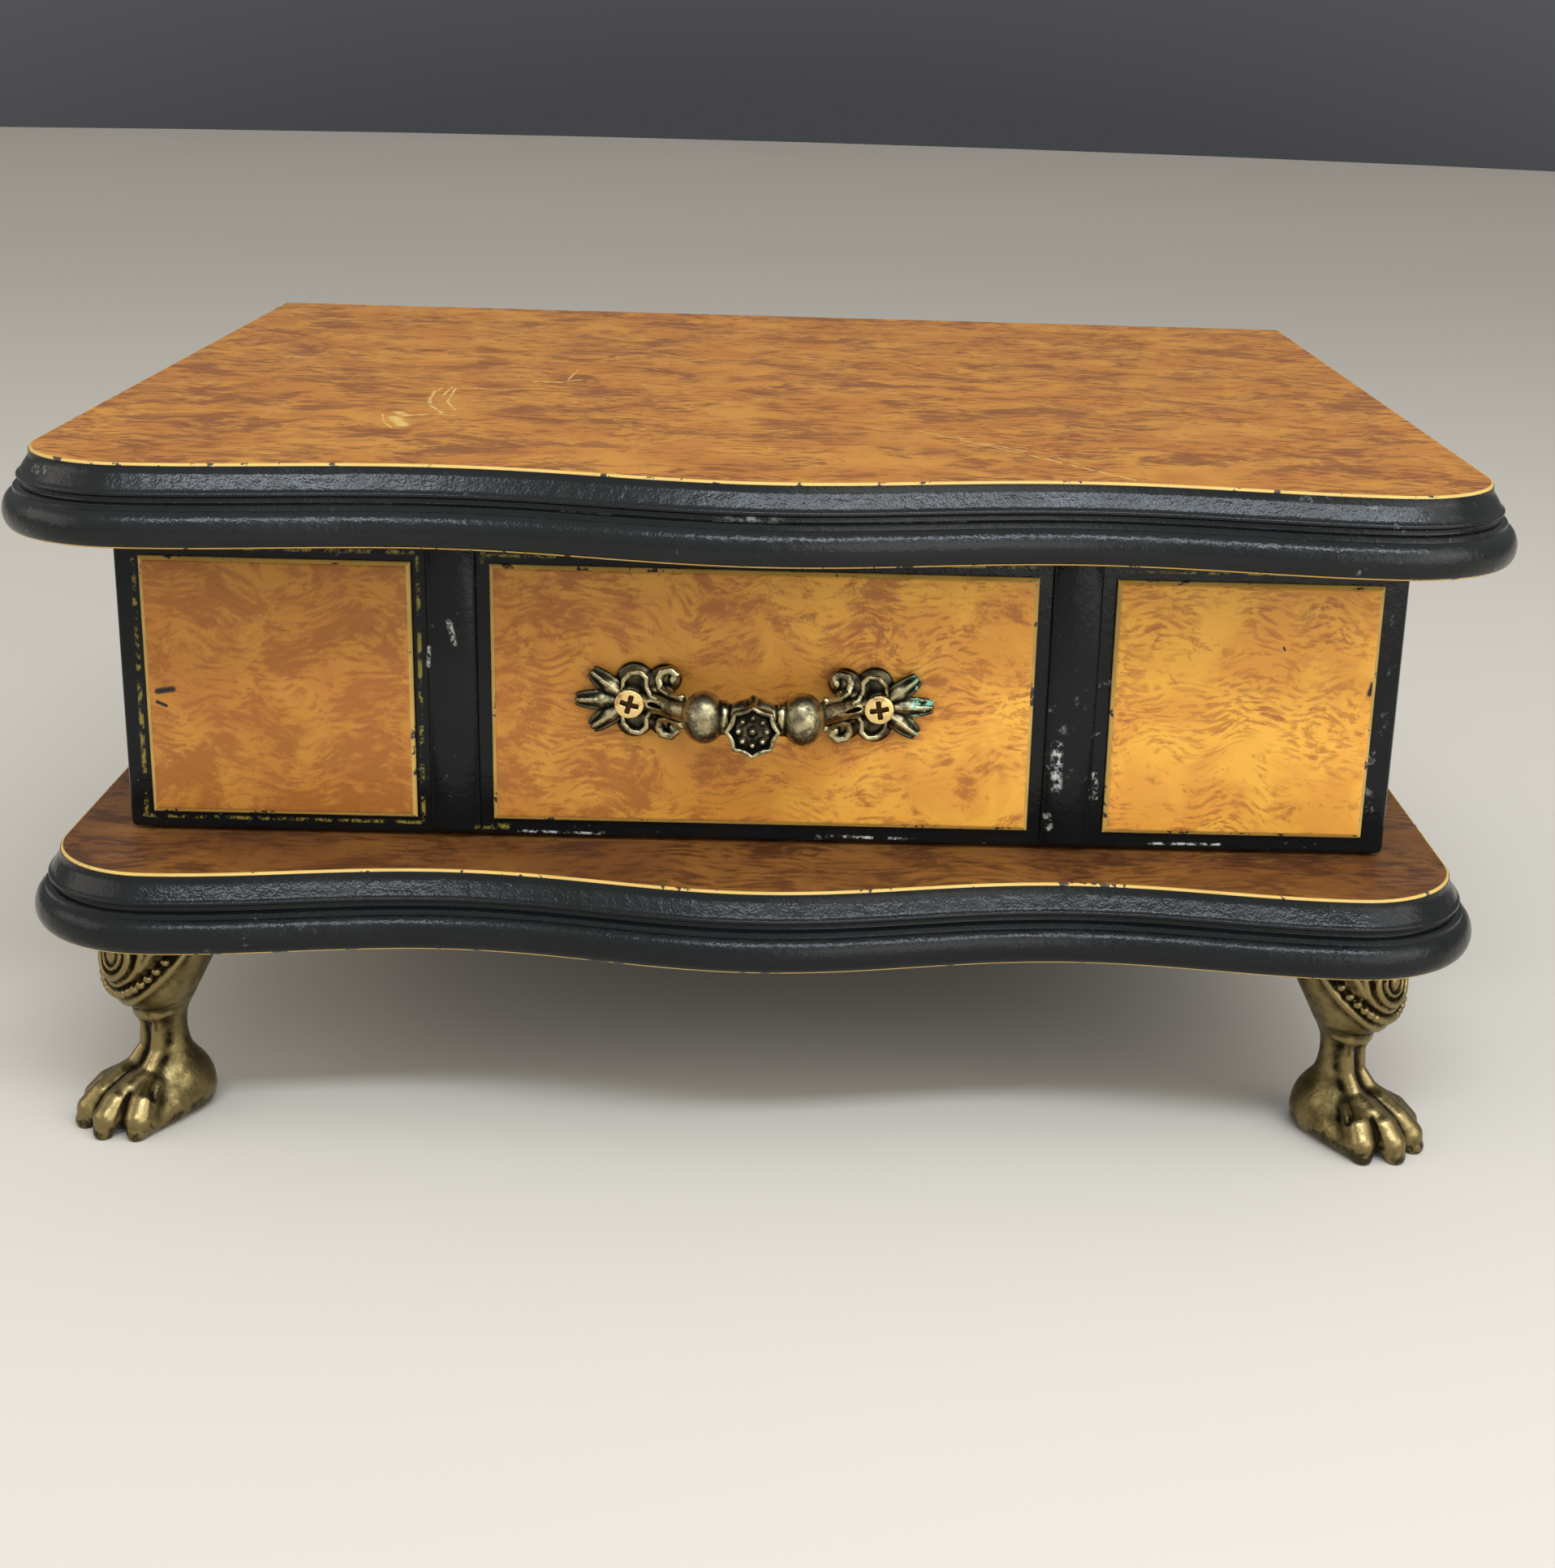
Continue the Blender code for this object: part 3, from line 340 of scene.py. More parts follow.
def base_burl_look():
    look = Look("base_burl")
    tones = (0.24, 0.100, 0.022), (0.165, 0.064, 0.017), (0.075, 0.027, 0.011)
    tone = burl_colour(look, tones, 100, (0, 0, 0.1))
    dust = look.between(look.noise(700, 6, 0.8), 0.66, 0.74)
    tone = look.mix(look.times(dust, 0.5), tone, (0.42, 0.36, 0.30))
    return lacquer(look, tone)


def wood_look(name, light, dark, turn):
    look = Look(name)
    along = look.stretch((0.06, 1.0, 1.0), turn=turn)
    grain = look.noise(900, 4, 0.6, 0.3, along)
    rings = look.noise(130, 2, 0.5, 0.6, along)
    tone = look.mix(rings, light, dark)
    tone = look.mix(look.between(grain, 0.52, 0.70, 0.0, 0.55), tone, tuple(0.45 * c for c in dark))
    return look.finish(tone, look.bump(grain, 0.08 * MM), look.between(grain, 0.3, 0.7, 0.5, 0.66))


def velvet_look(name, colour):
    """Short pile: streaks where it was brushed one way or another, and a bright sheen at grazing angles."""
    look = Look(name, 0.9)
    pile = look.noise(5200, 2, 0.6)
    brushed = look.between(look.noise(60, 4, 0.65, 0.5), 0.30, 0.70)
    dark = tuple(0.66 * c for c in colour)
    tone = look.mix(brushed, dark, colour)
    tone = look.mix(look.times(pile, 0.45), tone, tuple(0.3 * c for c in colour))
    bump = look.bump(pile, 0.12 * MM)
    bump = look.bump(look.noise(300, 2), 0.25 * MM, bump)
    pile_sheen = {"Sheen Weight": 0.7, "Sheen Roughness": 0.35, "Sheen Tint": (1.0, 0.45, 0.42, 1.0)}
    return look.finish(tone, bump, plain=pile_sheen)


def brass_look(name):
    """Plated brass with fine streaks and stains, and painted shade, near black, in its recesses where the mesh
    stores them.
    """
    look = Look(name, 0.3, 1.0)
    streaks = look.noise(1800, 3, 0.7, place=look.stretch((0.15, 1, 1)))
    stain = look.between(look.noise(420, 4, 0.65), 0.5, 0.72)
    tone = look.mix(stain, (0.90, 0.66, 0.28), (0.42, 0.26, 0.10))
    # painted shade: the recesses, such as a screw's cross, turn near black
    tone = look.mix(look.between(look.hollow(), 0.56, 0.75), tone, (0.05, 0.025, 0.012))
    rough = look.between(streaks, 0.3, 0.75, 0.20, 0.45)
    return look.finish(tone, look.bump(streaks, 0.02 * MM), rough)


def cast_look(name, bright, dull, deep, shine):
    """Cast metal with dark patina in its hollows and rubbed ridges, from the mesh's own hollows."""
    look = Look(name, 0.4, 1.0)
    blotch = look.noise(330, 4, 0.65)
    edge = look.stir(look.hollow(), blotch, 0.55)
    tone = look.mix(look.between(edge, 0.38, 0.56), bright, dull)
    tone = look.mix(look.between(edge, 0.52, 0.70), tone, deep)
    rough = look.between(edge, 0.3, 0.75, shine, 0.62)
    bump = look.bump(look.noise(700, 3), 0.10 * MM)
    bump = look.bump(look.noise(2600, 2), 0.03 * MM, bump)
    return look, tone, bump, rough


def gold_look():
    look, tone, bump, rough = cast_look(
        "cast_gold", (0.245, 0.188, 0.080), (0.110, 0.083, 0.034), (0.012, 0.009, 0.005), 0.29
    )
    # darker in patches towards the floor, from 7 mm down
    low_patches = look.times(look.between(look.coordinate("Z"), 7 * MM, 1 * MM), look.noise(260, 4, 0.7))
    tone = look.mix(look.between(low_patches, 0.38, 0.52, 0.0, 0.85), tone, (0.022, 0.018, 0.012))
    return look.finish(tone, bump, rough)


def bronze_look():
    """Old brass: black over the plates, in the hollows and in blotches, with green tips on one side."""
    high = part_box("handle")[1]
    look, tone, bump, rough = cast_look(
        "old_brass", (0.46, 0.405, 0.235), (0.11, 0.095, 0.055), (0.004, 0.004, 0.0035), 0.24
    )
    sunk = look.between(look.coordinate("Y"), high.y - 2.3 * MM, high.y - 1.3 * MM)
    moved = look.stretch((1, 1, 1), move=(0.3, 0, 0))
    blotch = look.between(look.noise(260, 4, 0.7, place=moved), 0.50, 0.62, 0.0, 0.75)
    black = look.math("MAXIMUM", look.times(sunk, 0.85), blotch)
    tone = look.mix(black, tone, (0.008, 0.008, 0.006))
    near_tips = look.between(look.coordinate("X"), high.x - 4.5 * MM, high.x - 2 * MM)
    verdigris = look.times(near_tips, look.between(look.noise(700, 3, 0.7), 0.50, 0.60))
    tone = look.mix(verdigris, tone, (0.17, 0.48, 0.34))
    look.set(look.shader, {"Metallic": look.between(verdigris, 0.2, 0.7, 1.0, 0.0)})
    return look.finish(tone, bump, rough)


def mirror_look():
    look = Look("mirror_glass", 0.02, 1.0)
    haze = look.between(look.noise(45, 5, 0.65), 0.5, 0.8, 0.015, 0.09)
    spots = look.between(look.noise(900, 2, 0.6), 0.74, 0.78)
    tone = look.mix(spots, (0.90, 0.92, 0.91), (0.35, 0.33, 0.30))
    return look.finish(tone, roughness=haze)


def floor_look():
    look = Look("floor", 0.8)
    tone = look.mix(look.noise(3, 3), (0.64, 0.60, 0.53), (0.67, 0.63, 0.56))
    return look.finish(tone)


# ================================================================ shapes
def new_piece(name, mesh, body, materials, replaces=()):
    """Puts a mesh in the scene as a piece that rides on a body and stands for CAD nodes."""
    piece = add_object(name, mesh)
    if not mesh.materials:
        for material in materials:
            mesh.materials.append(material)
    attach(piece, body)
    if replaces:
        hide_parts(*replaces)
    return piece


def apply_modifiers(piece):
    """Makes the shape that the modifiers give the piece's own."""
    shown = piece.evaluated_get(bpy.context.evaluated_depsgraph_get())
    mesh = bpy.data.meshes.new_from_object(shown)
    piece.modifiers.clear()
    piece.data = mesh


def cut_box(piece, low, high):
    """Cuts a box out of a piece."""
    cutter = add_object("cutter", mesh_of("cutter", soft_grid(low, high, 0, (1, 1, 1)), None))
    cut = piece.modifiers.new("cut", "BOOLEAN")
    cut.operation, cut.solver, cut.object = "DIFFERENCE", "EXACT", cutter
    apply_modifiers(piece)
    bpy.data.objects.remove(cutter)


def mesh_of(name, bm, smooth_angle=35):
    bmesh.ops.recalc_face_normals(bm, faces=bm.faces)
    mesh = bpy.data.meshes.new(name)
    bm.to_mesh(mesh)
    bm.free()
    mesh.shade_smooth()
    if smooth_angle is not None:
        mesh.set_sharp_from_angle(angle=math.radians(smooth_angle))
    return mesh


def loft(rings, bands=(), cap_bands=(0, 0), closed=False):
    """Skins closed rings. bands gives each step its material's number, and cap_bands each end's.

    closed joins the last ring to the first, as for a frame round an opening."""
    bm = bmesh.new()
    rows = [[bm.verts.new(point) for point in ring] for ring in rings]
    count = len(rows[0])
    for step, (lower, upper) in enumerate(zip(rows, rows[1:] + (rows[:1] if closed else []))):
        for i in range(count):
            face = bm.faces.new((lower[i], lower[(i + 1) % count], upper[(i + 1) % count], upper[i]))
            face.material_index = bands[step] if bands else 0
    if not closed:
        for row, band in zip((rows[0][::-1], rows[-1]), cap_bands):
            bm.faces.new(row).material_index = band
    return bm


def arc(centre, radius, start, stop, steps):
    """Points on an arc in a plane, from one angle to another in degrees, ends included."""
    turns = [math.radians(start + (stop - start) * i / steps) for i in range(steps + 1)]
    if not hasattr(radius, "__len__"):
        radius = (radius, radius)
    return [(centre[0] + radius[0] * math.cos(t), centre[1] + radius[1] * math.sin(t)) for t in turns]


def lathe(profile, sides=48):
    """Turns (radius, height) points about +Z. The profile's ends are closed flat."""
    rings = []
    for radius, height in profile:
        turns = [2 * math.pi * i / sides for i in range(sides)]
        rings.append([(radius * math.cos(t), radius * math.sin(t), height) for t in turns])
    return loft(rings)


def soft_min(a, b, blend):
    if blend <= 0:
        return np.minimum(a, b)
    share = np.clip(0.5 + 0.5 * (b - a) / blend, 0, 1)
    return b * (1 - share) + a * share - blend * share * (1 - share)


class Clay:
    """A solid made by adding soft shapes to a grid and cutting them from it, then skinned with quads."""

    def __init__(self, low, high, step):
        self.low, self.step = np.array(low, float), step
        counts = np.ceil((np.array(high) - self.low) / step).astype(int) + 1
        self.field = np.full(counts, 1.0, np.float32)

    def window(self, low, high):
        """The part of the grid in a box, as slices and open coordinate arrays."""
        first = np.clip(np.floor((np.array(low) - self.low) / self.step).astype(int), 0, None)
        last = np.minimum(np.ceil((np.array(high) - self.low) / self.step).astype(int) + 1, self.field.shape)
        slices = tuple(slice(a, max(a, b)) for a, b in zip(first, last))
        axes = [self.low[i] + self.step * np.arange(s.start, s.stop) for i, s in enumerate(slices)]
        return slices, np.meshgrid(*axes, indexing="ij", sparse=True)

    def apply(self, shape, low, high, blend=0.0, cut=False):
        """Adds or cuts shape(x, y, z), a distance that is negative inside, within a box around it."""
        room = blend + 3 * self.step
        slices, points = self.window(np.array(low) - room, np.array(high) + room)
        if 0 in self.field[slices].shape:
            return
        new = shape(*points)
        old = self.field[slices]
        self.field[slices] = -soft_min(-old, new, blend) if cut else soft_min(old, new, blend)

    def ball(self, centre, radii, blend=0.0, cut=False, turn=None):
        """An ellipsoid. turn is a rotation matrix from its own axes to the grid's."""
        radii = np.array([radii] * 3 if np.isscalar(radii) else radii, float)
        centre = np.array(centre, float)
        axes = np.eye(3) if turn is None else np.array(turn, float)

        def shape(x, y, z):
            x, y, z = x - centre[0], y - centre[1], z - centre[2]
            local = [axes[0, i] * x + axes[1, i] * y + axes[2, i] * z for i in range(3)]
            size = np.sqrt(sum((p / r) ** 2 for p, r in zip(local, radii)))
            slope = np.sqrt(sum((p / r**2) ** 2 for p, r in zip(local, radii)))
            return size * (size - 1) / np.maximum(slope, 1e-6)

        reach = radii.max() if turn is not None else radii
        self.apply(shape, centre - reach, centre + reach, blend, cut)

    def rod(self, points, radii, blend=0.0, cut=False):
        """A round bar along points, with one radius or one for each point."""
        points = np.array(points, float)
        radii = np.full(len(points), radii) if np.isscalar(radii) else np.array(radii, float)

        def shape(x, y, z):
            nearest = None
            for a, b, ra, rb in zip(points, points[1:], radii, radii[1:]):
                run = b - a
                share = ((x - a[0]) * run[0] + (y - a[1]) * run[1] + (z - a[2]) * run[2]) / (run @ run)
                share = np.clip(share, 0, 1)
                away = [p - a[i] - share * run[i] for i, p in enumerate((x, y, z))]
                distance = np.sqrt(away[0] ** 2 + away[1] ** 2 + away[2] ** 2) - (ra + (rb - ra) * share)
                nearest = distance if nearest is None else np.minimum(nearest, distance)
            return nearest

        self.apply(shape, points.min(0) - radii.max(), points.max(0) + radii.max(), blend, cut)

    def block(self, low, high, round_off=0.0, blend=0.0, cut=False):
        middle, half = (np.array(low) + high) / 2, (np.array(high) - low) / 2 - round_off

        def shape(x, y, z):
            away = [np.abs(p - middle[i]) - half[i] for i, p in enumerate((x, y, z))]
            outside = np.sqrt(sum(np.maximum(p, 0) ** 2 for p in away))
            inside = np.minimum(np.maximum(np.maximum(away[0], away[1]), away[2]), 0)
            return outside + inside - round_off

        self.apply(shape, low, high, blend, cut)

    def mesh(self, name, hollow_reach, rounds, crease=None):
        """The skin as a mesh that stores its hollows. crease is the angle from which its edges are sharp."""
        points, quads = self.skin()
        mesh = bpy.data.meshes.new(name)
        mesh.from_pydata(points.tolist(), [], quads.tolist())
        mesh.shade_smooth()
        if crease is not None:
            mesh.set_sharp_from_angle(angle=math.radians(crease))
        store_hollows(mesh, hollow_reach, rounds)
        return mesh

    def skin(self):
        """One point in each grid cell that the surface crosses, and a quad around each crossed grid edge."""
        cells = tuple(n - 1 for n in self.field.shape)
        total, count = np.zeros((*cells, 3), np.float32), np.zeros(cells, np.float32)
        edges = []
        for axis in range(3):
            others = [a for a in range(3) if a != axis]
            start = np.take(self.field, range(0, cells[axis]), axis)
            end = np.take(self.field, range(1, cells[axis] + 1), axis)
            crossed = (start < 0) != (end < 0)
            share = np.where(crossed, start / np.where(crossed, start - end, 1), 0)
            edges.append((axis, others, crossed, start < 0))
            for i in (0, 1):
                for j in (0, 1):
                    pick = [slice(None)] * 3
                    pick[others[0]] = slice(i, cells[others[0]] + i)
                    pick[others[1]] = slice(j, cells[others[1]] + j)
                    here = crossed[tuple(pick)]
                    count += here
                    total[..., axis] += share[tuple(pick)]
                    total[..., others[0]] += i * here
                    total[..., others[1]] += j * here
        used = count > 0
        number = np.cumsum(used).reshape(cells) - 1
        points = (np.argwhere(used) + total[used] / count[used][:, None]) * self.step + self.low
        quads = [self.quads(number, *edge) for edge in edges]
        return points, np.concatenate(quads)

    @staticmethod
    def quads(number, axis, others, crossed, starts_inside):
        inner = [slice(None)] * 3
        for other in others:
            inner[other] = slice(1, -1)
        crossed, starts_inside = crossed[tuple(inner)], starts_inside[tuple(inner)]
        corners = []
        for i, j in ((0, 0), (1, 0), (1, 1), (0, 1)):
            pick = [slice(None)] * 3
            pick[others[0]] = slice(i, number.shape[others[0]] - 1 + i)
            pick[others[1]] = slice(j, number.shape[others[1]] - 1 + j)
            corners.append(number[tuple(pick)][crossed])
        faces = np.stack(corners, 1)
        flip = starts_inside[crossed] == (axis == 1)
        faces[flip] = faces[flip][:, ::-1]
        return faces


def store_hollows(mesh, reach, rounds):
    """Stores on each point how hollow the surface is there: 0 on a ridge, 0.5 where flat, 1 in a groove."""
    size = len(mesh.vertices)
    points = np.zeros(size * 3)
    mesh.vertices.foreach_get("co", points)
    points = points.reshape(-1, 3)
    normals = np.zeros(size * 3)
    mesh.vertex_normals.foreach_get("vector", normals)
    ends = np.zeros(len(mesh.edges) * 2, int)
    mesh.edges.foreach_get("vertices", ends)
    a, b = ends.reshape(-1, 2).T
    joined = np.bincount(a, minlength=size) + np.bincount(b, minlength=size)

    def spread(values):
        total = np.bincount(a, values[b], size) + np.bincount(b, values[a], size)
        return total / np.maximum(joined, 1)

    smooth = points
    for _ in range(rounds):
        smooth = np.stack([spread(smooth[:, i]) for i in range(3)], 1)
    depth = ((smooth - points) * normals.reshape(-1, 3)).sum(1)
    value = np.clip(0.5 + 0.5 * depth / reach, 0, 1)
    value = spread(spread(value))
    mesh.attributes.new("hollow", "FLOAT", "POINT").data.foreach_set("value", value.astype(np.float32))


def soft_grid(low, high, rounding, counts):
    """A closed box of small quads with rounded edges."""
    low, high = Vector(low), Vector(high)
    middle, half = (low + high) / 2, (high - low) / 2
    inner = Vector([max(h - rounding, 0.0) for h in half])
    bm = bmesh.new()
    known = {}

    def corner(index):
        if index not in known:
            share = Vector([2 * i / n - 1 for i, n in zip(index, counts)])
            point = Vector([s * h for s, h in zip(share, half)])
            core = Vector([max(-c, min(c, p)) for p, c in zip(point, inner)])
            away = point - core
            if away.length > 1e-9:
                point = core + away.normalized() * rounding
            known[index] = bm.verts.new(middle + point)
        return known[index]

    for axis in range(3):
        u, v = [a for a in range(3) if a != axis]
        for side in (0, counts[axis]):
            for i in range(counts[u]):
                for j in range(counts[v]):
                    index = []
                    for a, b in ((0, 0), (1, 0), (1, 1), (0, 1)):
                        place = [0, 0, 0]
                        place[axis], place[u], place[v] = side, i + a, j + b
                        index.append(corner(tuple(place)))
                    bm.faces.new(index)
    return bm


# ================================================================ boards
def front_points(inset, steps=150):
    """The wavy front between the corners, moved inwards square to itself."""
    straight = HALF_WIDTH - CORNER_RADIUS
    points = []
    for i in range(steps + 1):
        x = -straight + 2 * straight * i / steps
        phase = math.pi * x / straight
        y = MEAN_FRONT_Y - FRONT_WAVE * math.cos(2 * phase) - FRONT_CROWN * math.cos(phase)
        slope = math.pi / straight * (2 * FRONT_WAVE * math.sin(2 * phase) + FRONT_CROWN * math.sin(phase))
        points.append(Vector((x, y)) + inset * Vector((-slope, 1.0)).normalized())
    return points


def corner_points(side, inset, steps=18):
    straight = HALF_WIDTH - CORNER_RADIUS
    centre = Vector((side * straight, MEAN_FRONT_Y - FRONT_WAVE + FRONT_CROWN + CORNER_RADIUS))
    points = []
    for i in range(steps):
        turn = math.pi / 2 * i / steps
        points.append(centre + (CORNER_RADIUS - inset) * Vector((side * math.cos(turn), -math.sin(turn))))
    return points if side < 0 else points[::-1]


def board_ring(inset, z, back_inset=0.0, side_steps=30):
    """The boards' outline: straight back, straight sides, round front corners, wavy front."""
    half = HALF_WIDTH - inset
    back = BACK_Y - back_inset
    left, right = corner_points(-1, inset), corner_points(1, inset)
    plan = []
    for side, end in ((-1, left[0]), (1, right[-1])):
        run = [Vector((side * half, back + (end.y - back) * i / side_steps)) for i in range(side_steps)]
        plan.append(run)
    outline = plan[0] + left + front_points(inset) + right + plan[1][::-1]
    return [(p.x, p.y, z) for p in outline]


# The boards' moulding from the underside up, in mm: (inset from the widest line, height, band).
# Band 1 is an edge that was wiped back to its yellow ground, band 0 is black paint.
MOULDING = (
    (6.00, 0.00, 0), (1.50, 0.00, 0),  # two level rings keep the underside's shading clean round the pockets
    (1.00, 0.06, 1), (0.72, 0.32, 1), (0.42, 0.75, 0), (0.18, 1.30, 0), (0.04, 1.90, 0),
    (0.00, 2.50, 0), (0.05, 3.10, 0), (0.22, 3.80, 0), (0.52, 4.50, 0), (0.92, 5.05, 0), (1.45, 5.45, 0),
    (1.75, 5.60, 0), (1.80, 5.75, 0), (1.84, 6.25, 0), (2.02, 6.42, 0), (3.05, 6.60, 0), (3.12, 6.75, 0),
    (3.12, 7.30, 0), (2.98, 7.42, 0), (2.62, 7.48, 0), (2.42, 7.68, 0), (2.40, 7.95, 0), (2.52, 8.18, 0),
    (2.78, 8.30, 0), (3.05, 8.70, 0), (3.42, 9.30, 0), (3.85, 9.95, 0), (4.22, 10.5, 0), (4.42, 10.85, 0),
)
MOULDING_HEIGHT = 11.0
VENEER_LIP = 0.80 * MM  # how far the paint stands up round the veneer's edge
VENEER_ARRIS = 0.38 * MM
POCKET_ROOM = 0.3 * MM
BOARD_CREASE = 38  # degrees
FOOT_OF_MOULDING = 0.3  # mm: the rings below it stand in from the back, to ease that edge too
BACK_EASE = 0.25 * MM


def make_board(name, node, body, pockets=()):
    """The moulded board under a veneer, with pockets (low, high) cut from its underside."""
    low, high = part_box(node)
    unit = (high.z - low.z) / MOULDING_HEIGHT
    rings = [board_ring(inset * MM, low.z + z * unit, BACK_EASE if z < FOOT_OF_MOULDING else 0.0)
             for inset, z, _ in MOULDING]
    lip = ((4.50, high.z + VENEER_LIP), (4.57, high.z + VENEER_LIP), (4.59, high.z))
    rings += [board_ring(inset * MM, z) for inset, z in lip]
    bands = [band for _, _, band in MOULDING[1:]] + [0] * len(lip)
    mesh = mesh_of(name, loft(rings, bands), BOARD_CREASE)
    paint = looks["lid_paint" if body == "lid" else "paint"]
    board = new_piece(name, mesh, body, (paint, looks["edge"]), [node])
    for low, high in pockets:
        cut_box(board, low, high)
    board.data.set_sharp_from_angle(angle=math.radians(BOARD_CREASE))


def make_veneer(name, node, body, top_look):
    """The veneered top: its edge is wiped yellow, with a small rounded arris."""
    low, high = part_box(node)
    rings = [board_ring(VENEER_INSET, low.z), board_ring(VENEER_INSET, high.z - VENEER_ARRIS)]
    for inset, z in arc((VENEER_ARRIS, -VENEER_ARRIS), VENEER_ARRIS, 180, 90, 4)[1:]:
        rings.append(board_ring(VENEER_INSET + inset, high.z + z, inset))
    bands = [1] * (len(rings) - 1) + [0]
    rings.append(board_ring(VENEER_INSET + 3 * VENEER_ARRIS, high.z, 3 * VENEER_ARRIS))
    mesh = mesh_of(name, loft(rings, bands), 60)
    new_piece(name, mesh, body, (top_look, looks["edge"]), [node])


# ================================================================ drawer front
# A field's bevel, in mm: (inset, how far it is sunk below the face). The first step is its square side.
FIELD_BEVEL = ((0.0, 0.62), (0.08, 0.45), (0.25, 0.32), (0.62, 0.16), (0.80, 0.04), (0.95, 0.0))
FIELD_PARTS = 24  # points along each side


def make_field(name, node):
    """A raised field: square sides, a soft bevel of plain yellow, then the burl face."""
    low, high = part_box(node)
    depth = high.y - low.y
    rings = []
    for inset, rise in [(0.0, 0.0)] + [(inset * MM, depth - sunk * MM) for inset, sunk in FIELD_BEVEL]:
        corners = ((low.x + inset, low.z + inset), (high.x - inset, low.z + inset),
                   (high.x - inset, high.z - inset), (low.x + inset, high.z - inset))
        plan = []
        for (x0, z0), (x1, z1) in zip(corners, corners[1:] + corners[:1]):
            plan += [(x0 + (x1 - x0) * i / FIELD_PARTS, high.y - rise, z0 + (z1 - z0) * i / FIELD_PARTS)
                     for i in range(FIELD_PARTS)]
        rings.append(plan)
    mesh = mesh_of(name, loft(rings, [1, 1, 1, 1, 0, 0], (1, 0)), 25)
    new_piece(name, mesh, "drawer", (looks["field_burl"], looks["field_edge"]), [node])


def make_bar(name, node):
    """A half-round bar with eased ends."""
    low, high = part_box(node)
    half, rise, centre = (high.x - low.x) / 2, high.y - low.y, (high.x + low.x) / 2
    rings = []
    for z, share in ((low.z, 0.9), (low.z + 0.3 * MM, 1.0), (high.z - 0.3 * MM, 1.0), (high.z, 0.9)):
        plan = arc((centre, high.y), (half * share, rise * share), 180, 360, 24)
        rings.append([(x, y, z) for x, y in plan])
    new_piece(name, mesh_of(name, loft(rings)), "drawer", (looks["front_paint"],), [node])


# ================================================================ feet
FOOT_STEP = 0.28 * MM
FOOT_TOP = base_low.z - 0.3 * MM
# Leg from the floor up, in mm: (height, offset towards the toes, half length, half width)
LEG = (
    (2.0, -1.6, 4.6, 4.4), (5.0, -1.4, 5.2, 4.7), (8.0, -0.8, 4.9, 4.4), (11.0, -0.2, 3.9, 3.8),
    (14.0, -0.1, 3.3, 3.4), (16.5, 0.1, 3.4, 3.6), (18.8, 0.7, 4.4, 4.6), (21.5, 1.3, 6.2, 6.4),
    (24.5, 1.3, 7.7, 7.9), (28.0, 0.5, 8.8, 9.0), (31.5, -0.3, 8.9, 9.3), (36.0, -0.9, 8.6, 9.3),
)
TOES = ((-33, 11.3, 2.45), (-11, 13.1, 2.6), (11, 13.1, 2.6), (33, 11.3, 2.45))  # degrees, reach, radius
TOE_ROOT = 1.5  # mm added to how far a toe, or a gap between toes, reaches out
# Along a toe and along a gap between toes: share of the reach, height in mm.
TOE_LINE = ((0.46, 6.7), (0.72, 4.9), (0.90, 3.0), (0.98, 1.2))
GAP_LINE = ((0.42, 8.6), (0.66, 7.2), (0.84, 5.2), (0.98, 2.8), (1.0, 0.6))
KNEE_TOP = 34.8  # mm: the ornament stops below the base


def leg_values(z):
    """Offset, half length and half width of the leg at a height, in metres, eased between its stations."""
    table = np.array(LEG) * MM
    z = np.clip(z, table[0, 0], table[-1, 0])
    i = np.clip(np.searchsorted(table[:, 0], z) - 1, 0, len(table) - 2)
    before, after = np.clip(i - 1, 0, None), np.clip(i + 2, None, len(table) - 1)
    t = (z - table[i, 0]) / (table[i + 1, 0] - table[i, 0])
    made = []
    for column in (1, 2, 3):
        p0, p1, p2, p3 = (table[k, column] for k in (before, i, i + 1, after))
        made.append(0.5 * (2 * p1 + (p2 - p0) * t + (2 * p0 - 5 * p1 + 4 * p2 - p3) * t**2
                           + (3 * p1 - p0 - 3 * p2 + p3) * t**3))
    return made


def on_leg(degrees, z, out=0.0):
    """A point on the leg's skin, at an angle from the toes and a height in mm, moved out by some mm."""
    offset, length, width = (float(v) for v in leg_values(np.array(z * MM)))
    turn = math.radians(degrees)
    return (offset + (length + out * MM) * math.cos(turn), (width + out * MM) * math.sin(turn), z * MM)


def leg_shape(x, y, z):
    offset, length, width = leg_values(z)
    size = np.sqrt(((x - offset) / length) ** 2 + (y / width) ** 2)
    return (size - 1) * np.minimum(length, width) * 0.8


def shield_path(drop, reach, steps):
    """A border round the front of the knee: low at the middle, rising to both sides."""
    path = []
    for i in range(steps + 1):
        share = 2 * i / steps - 1
        path.append((share * reach, 23.2 - drop + 12.5 * abs(share) ** 2.1))
    return path


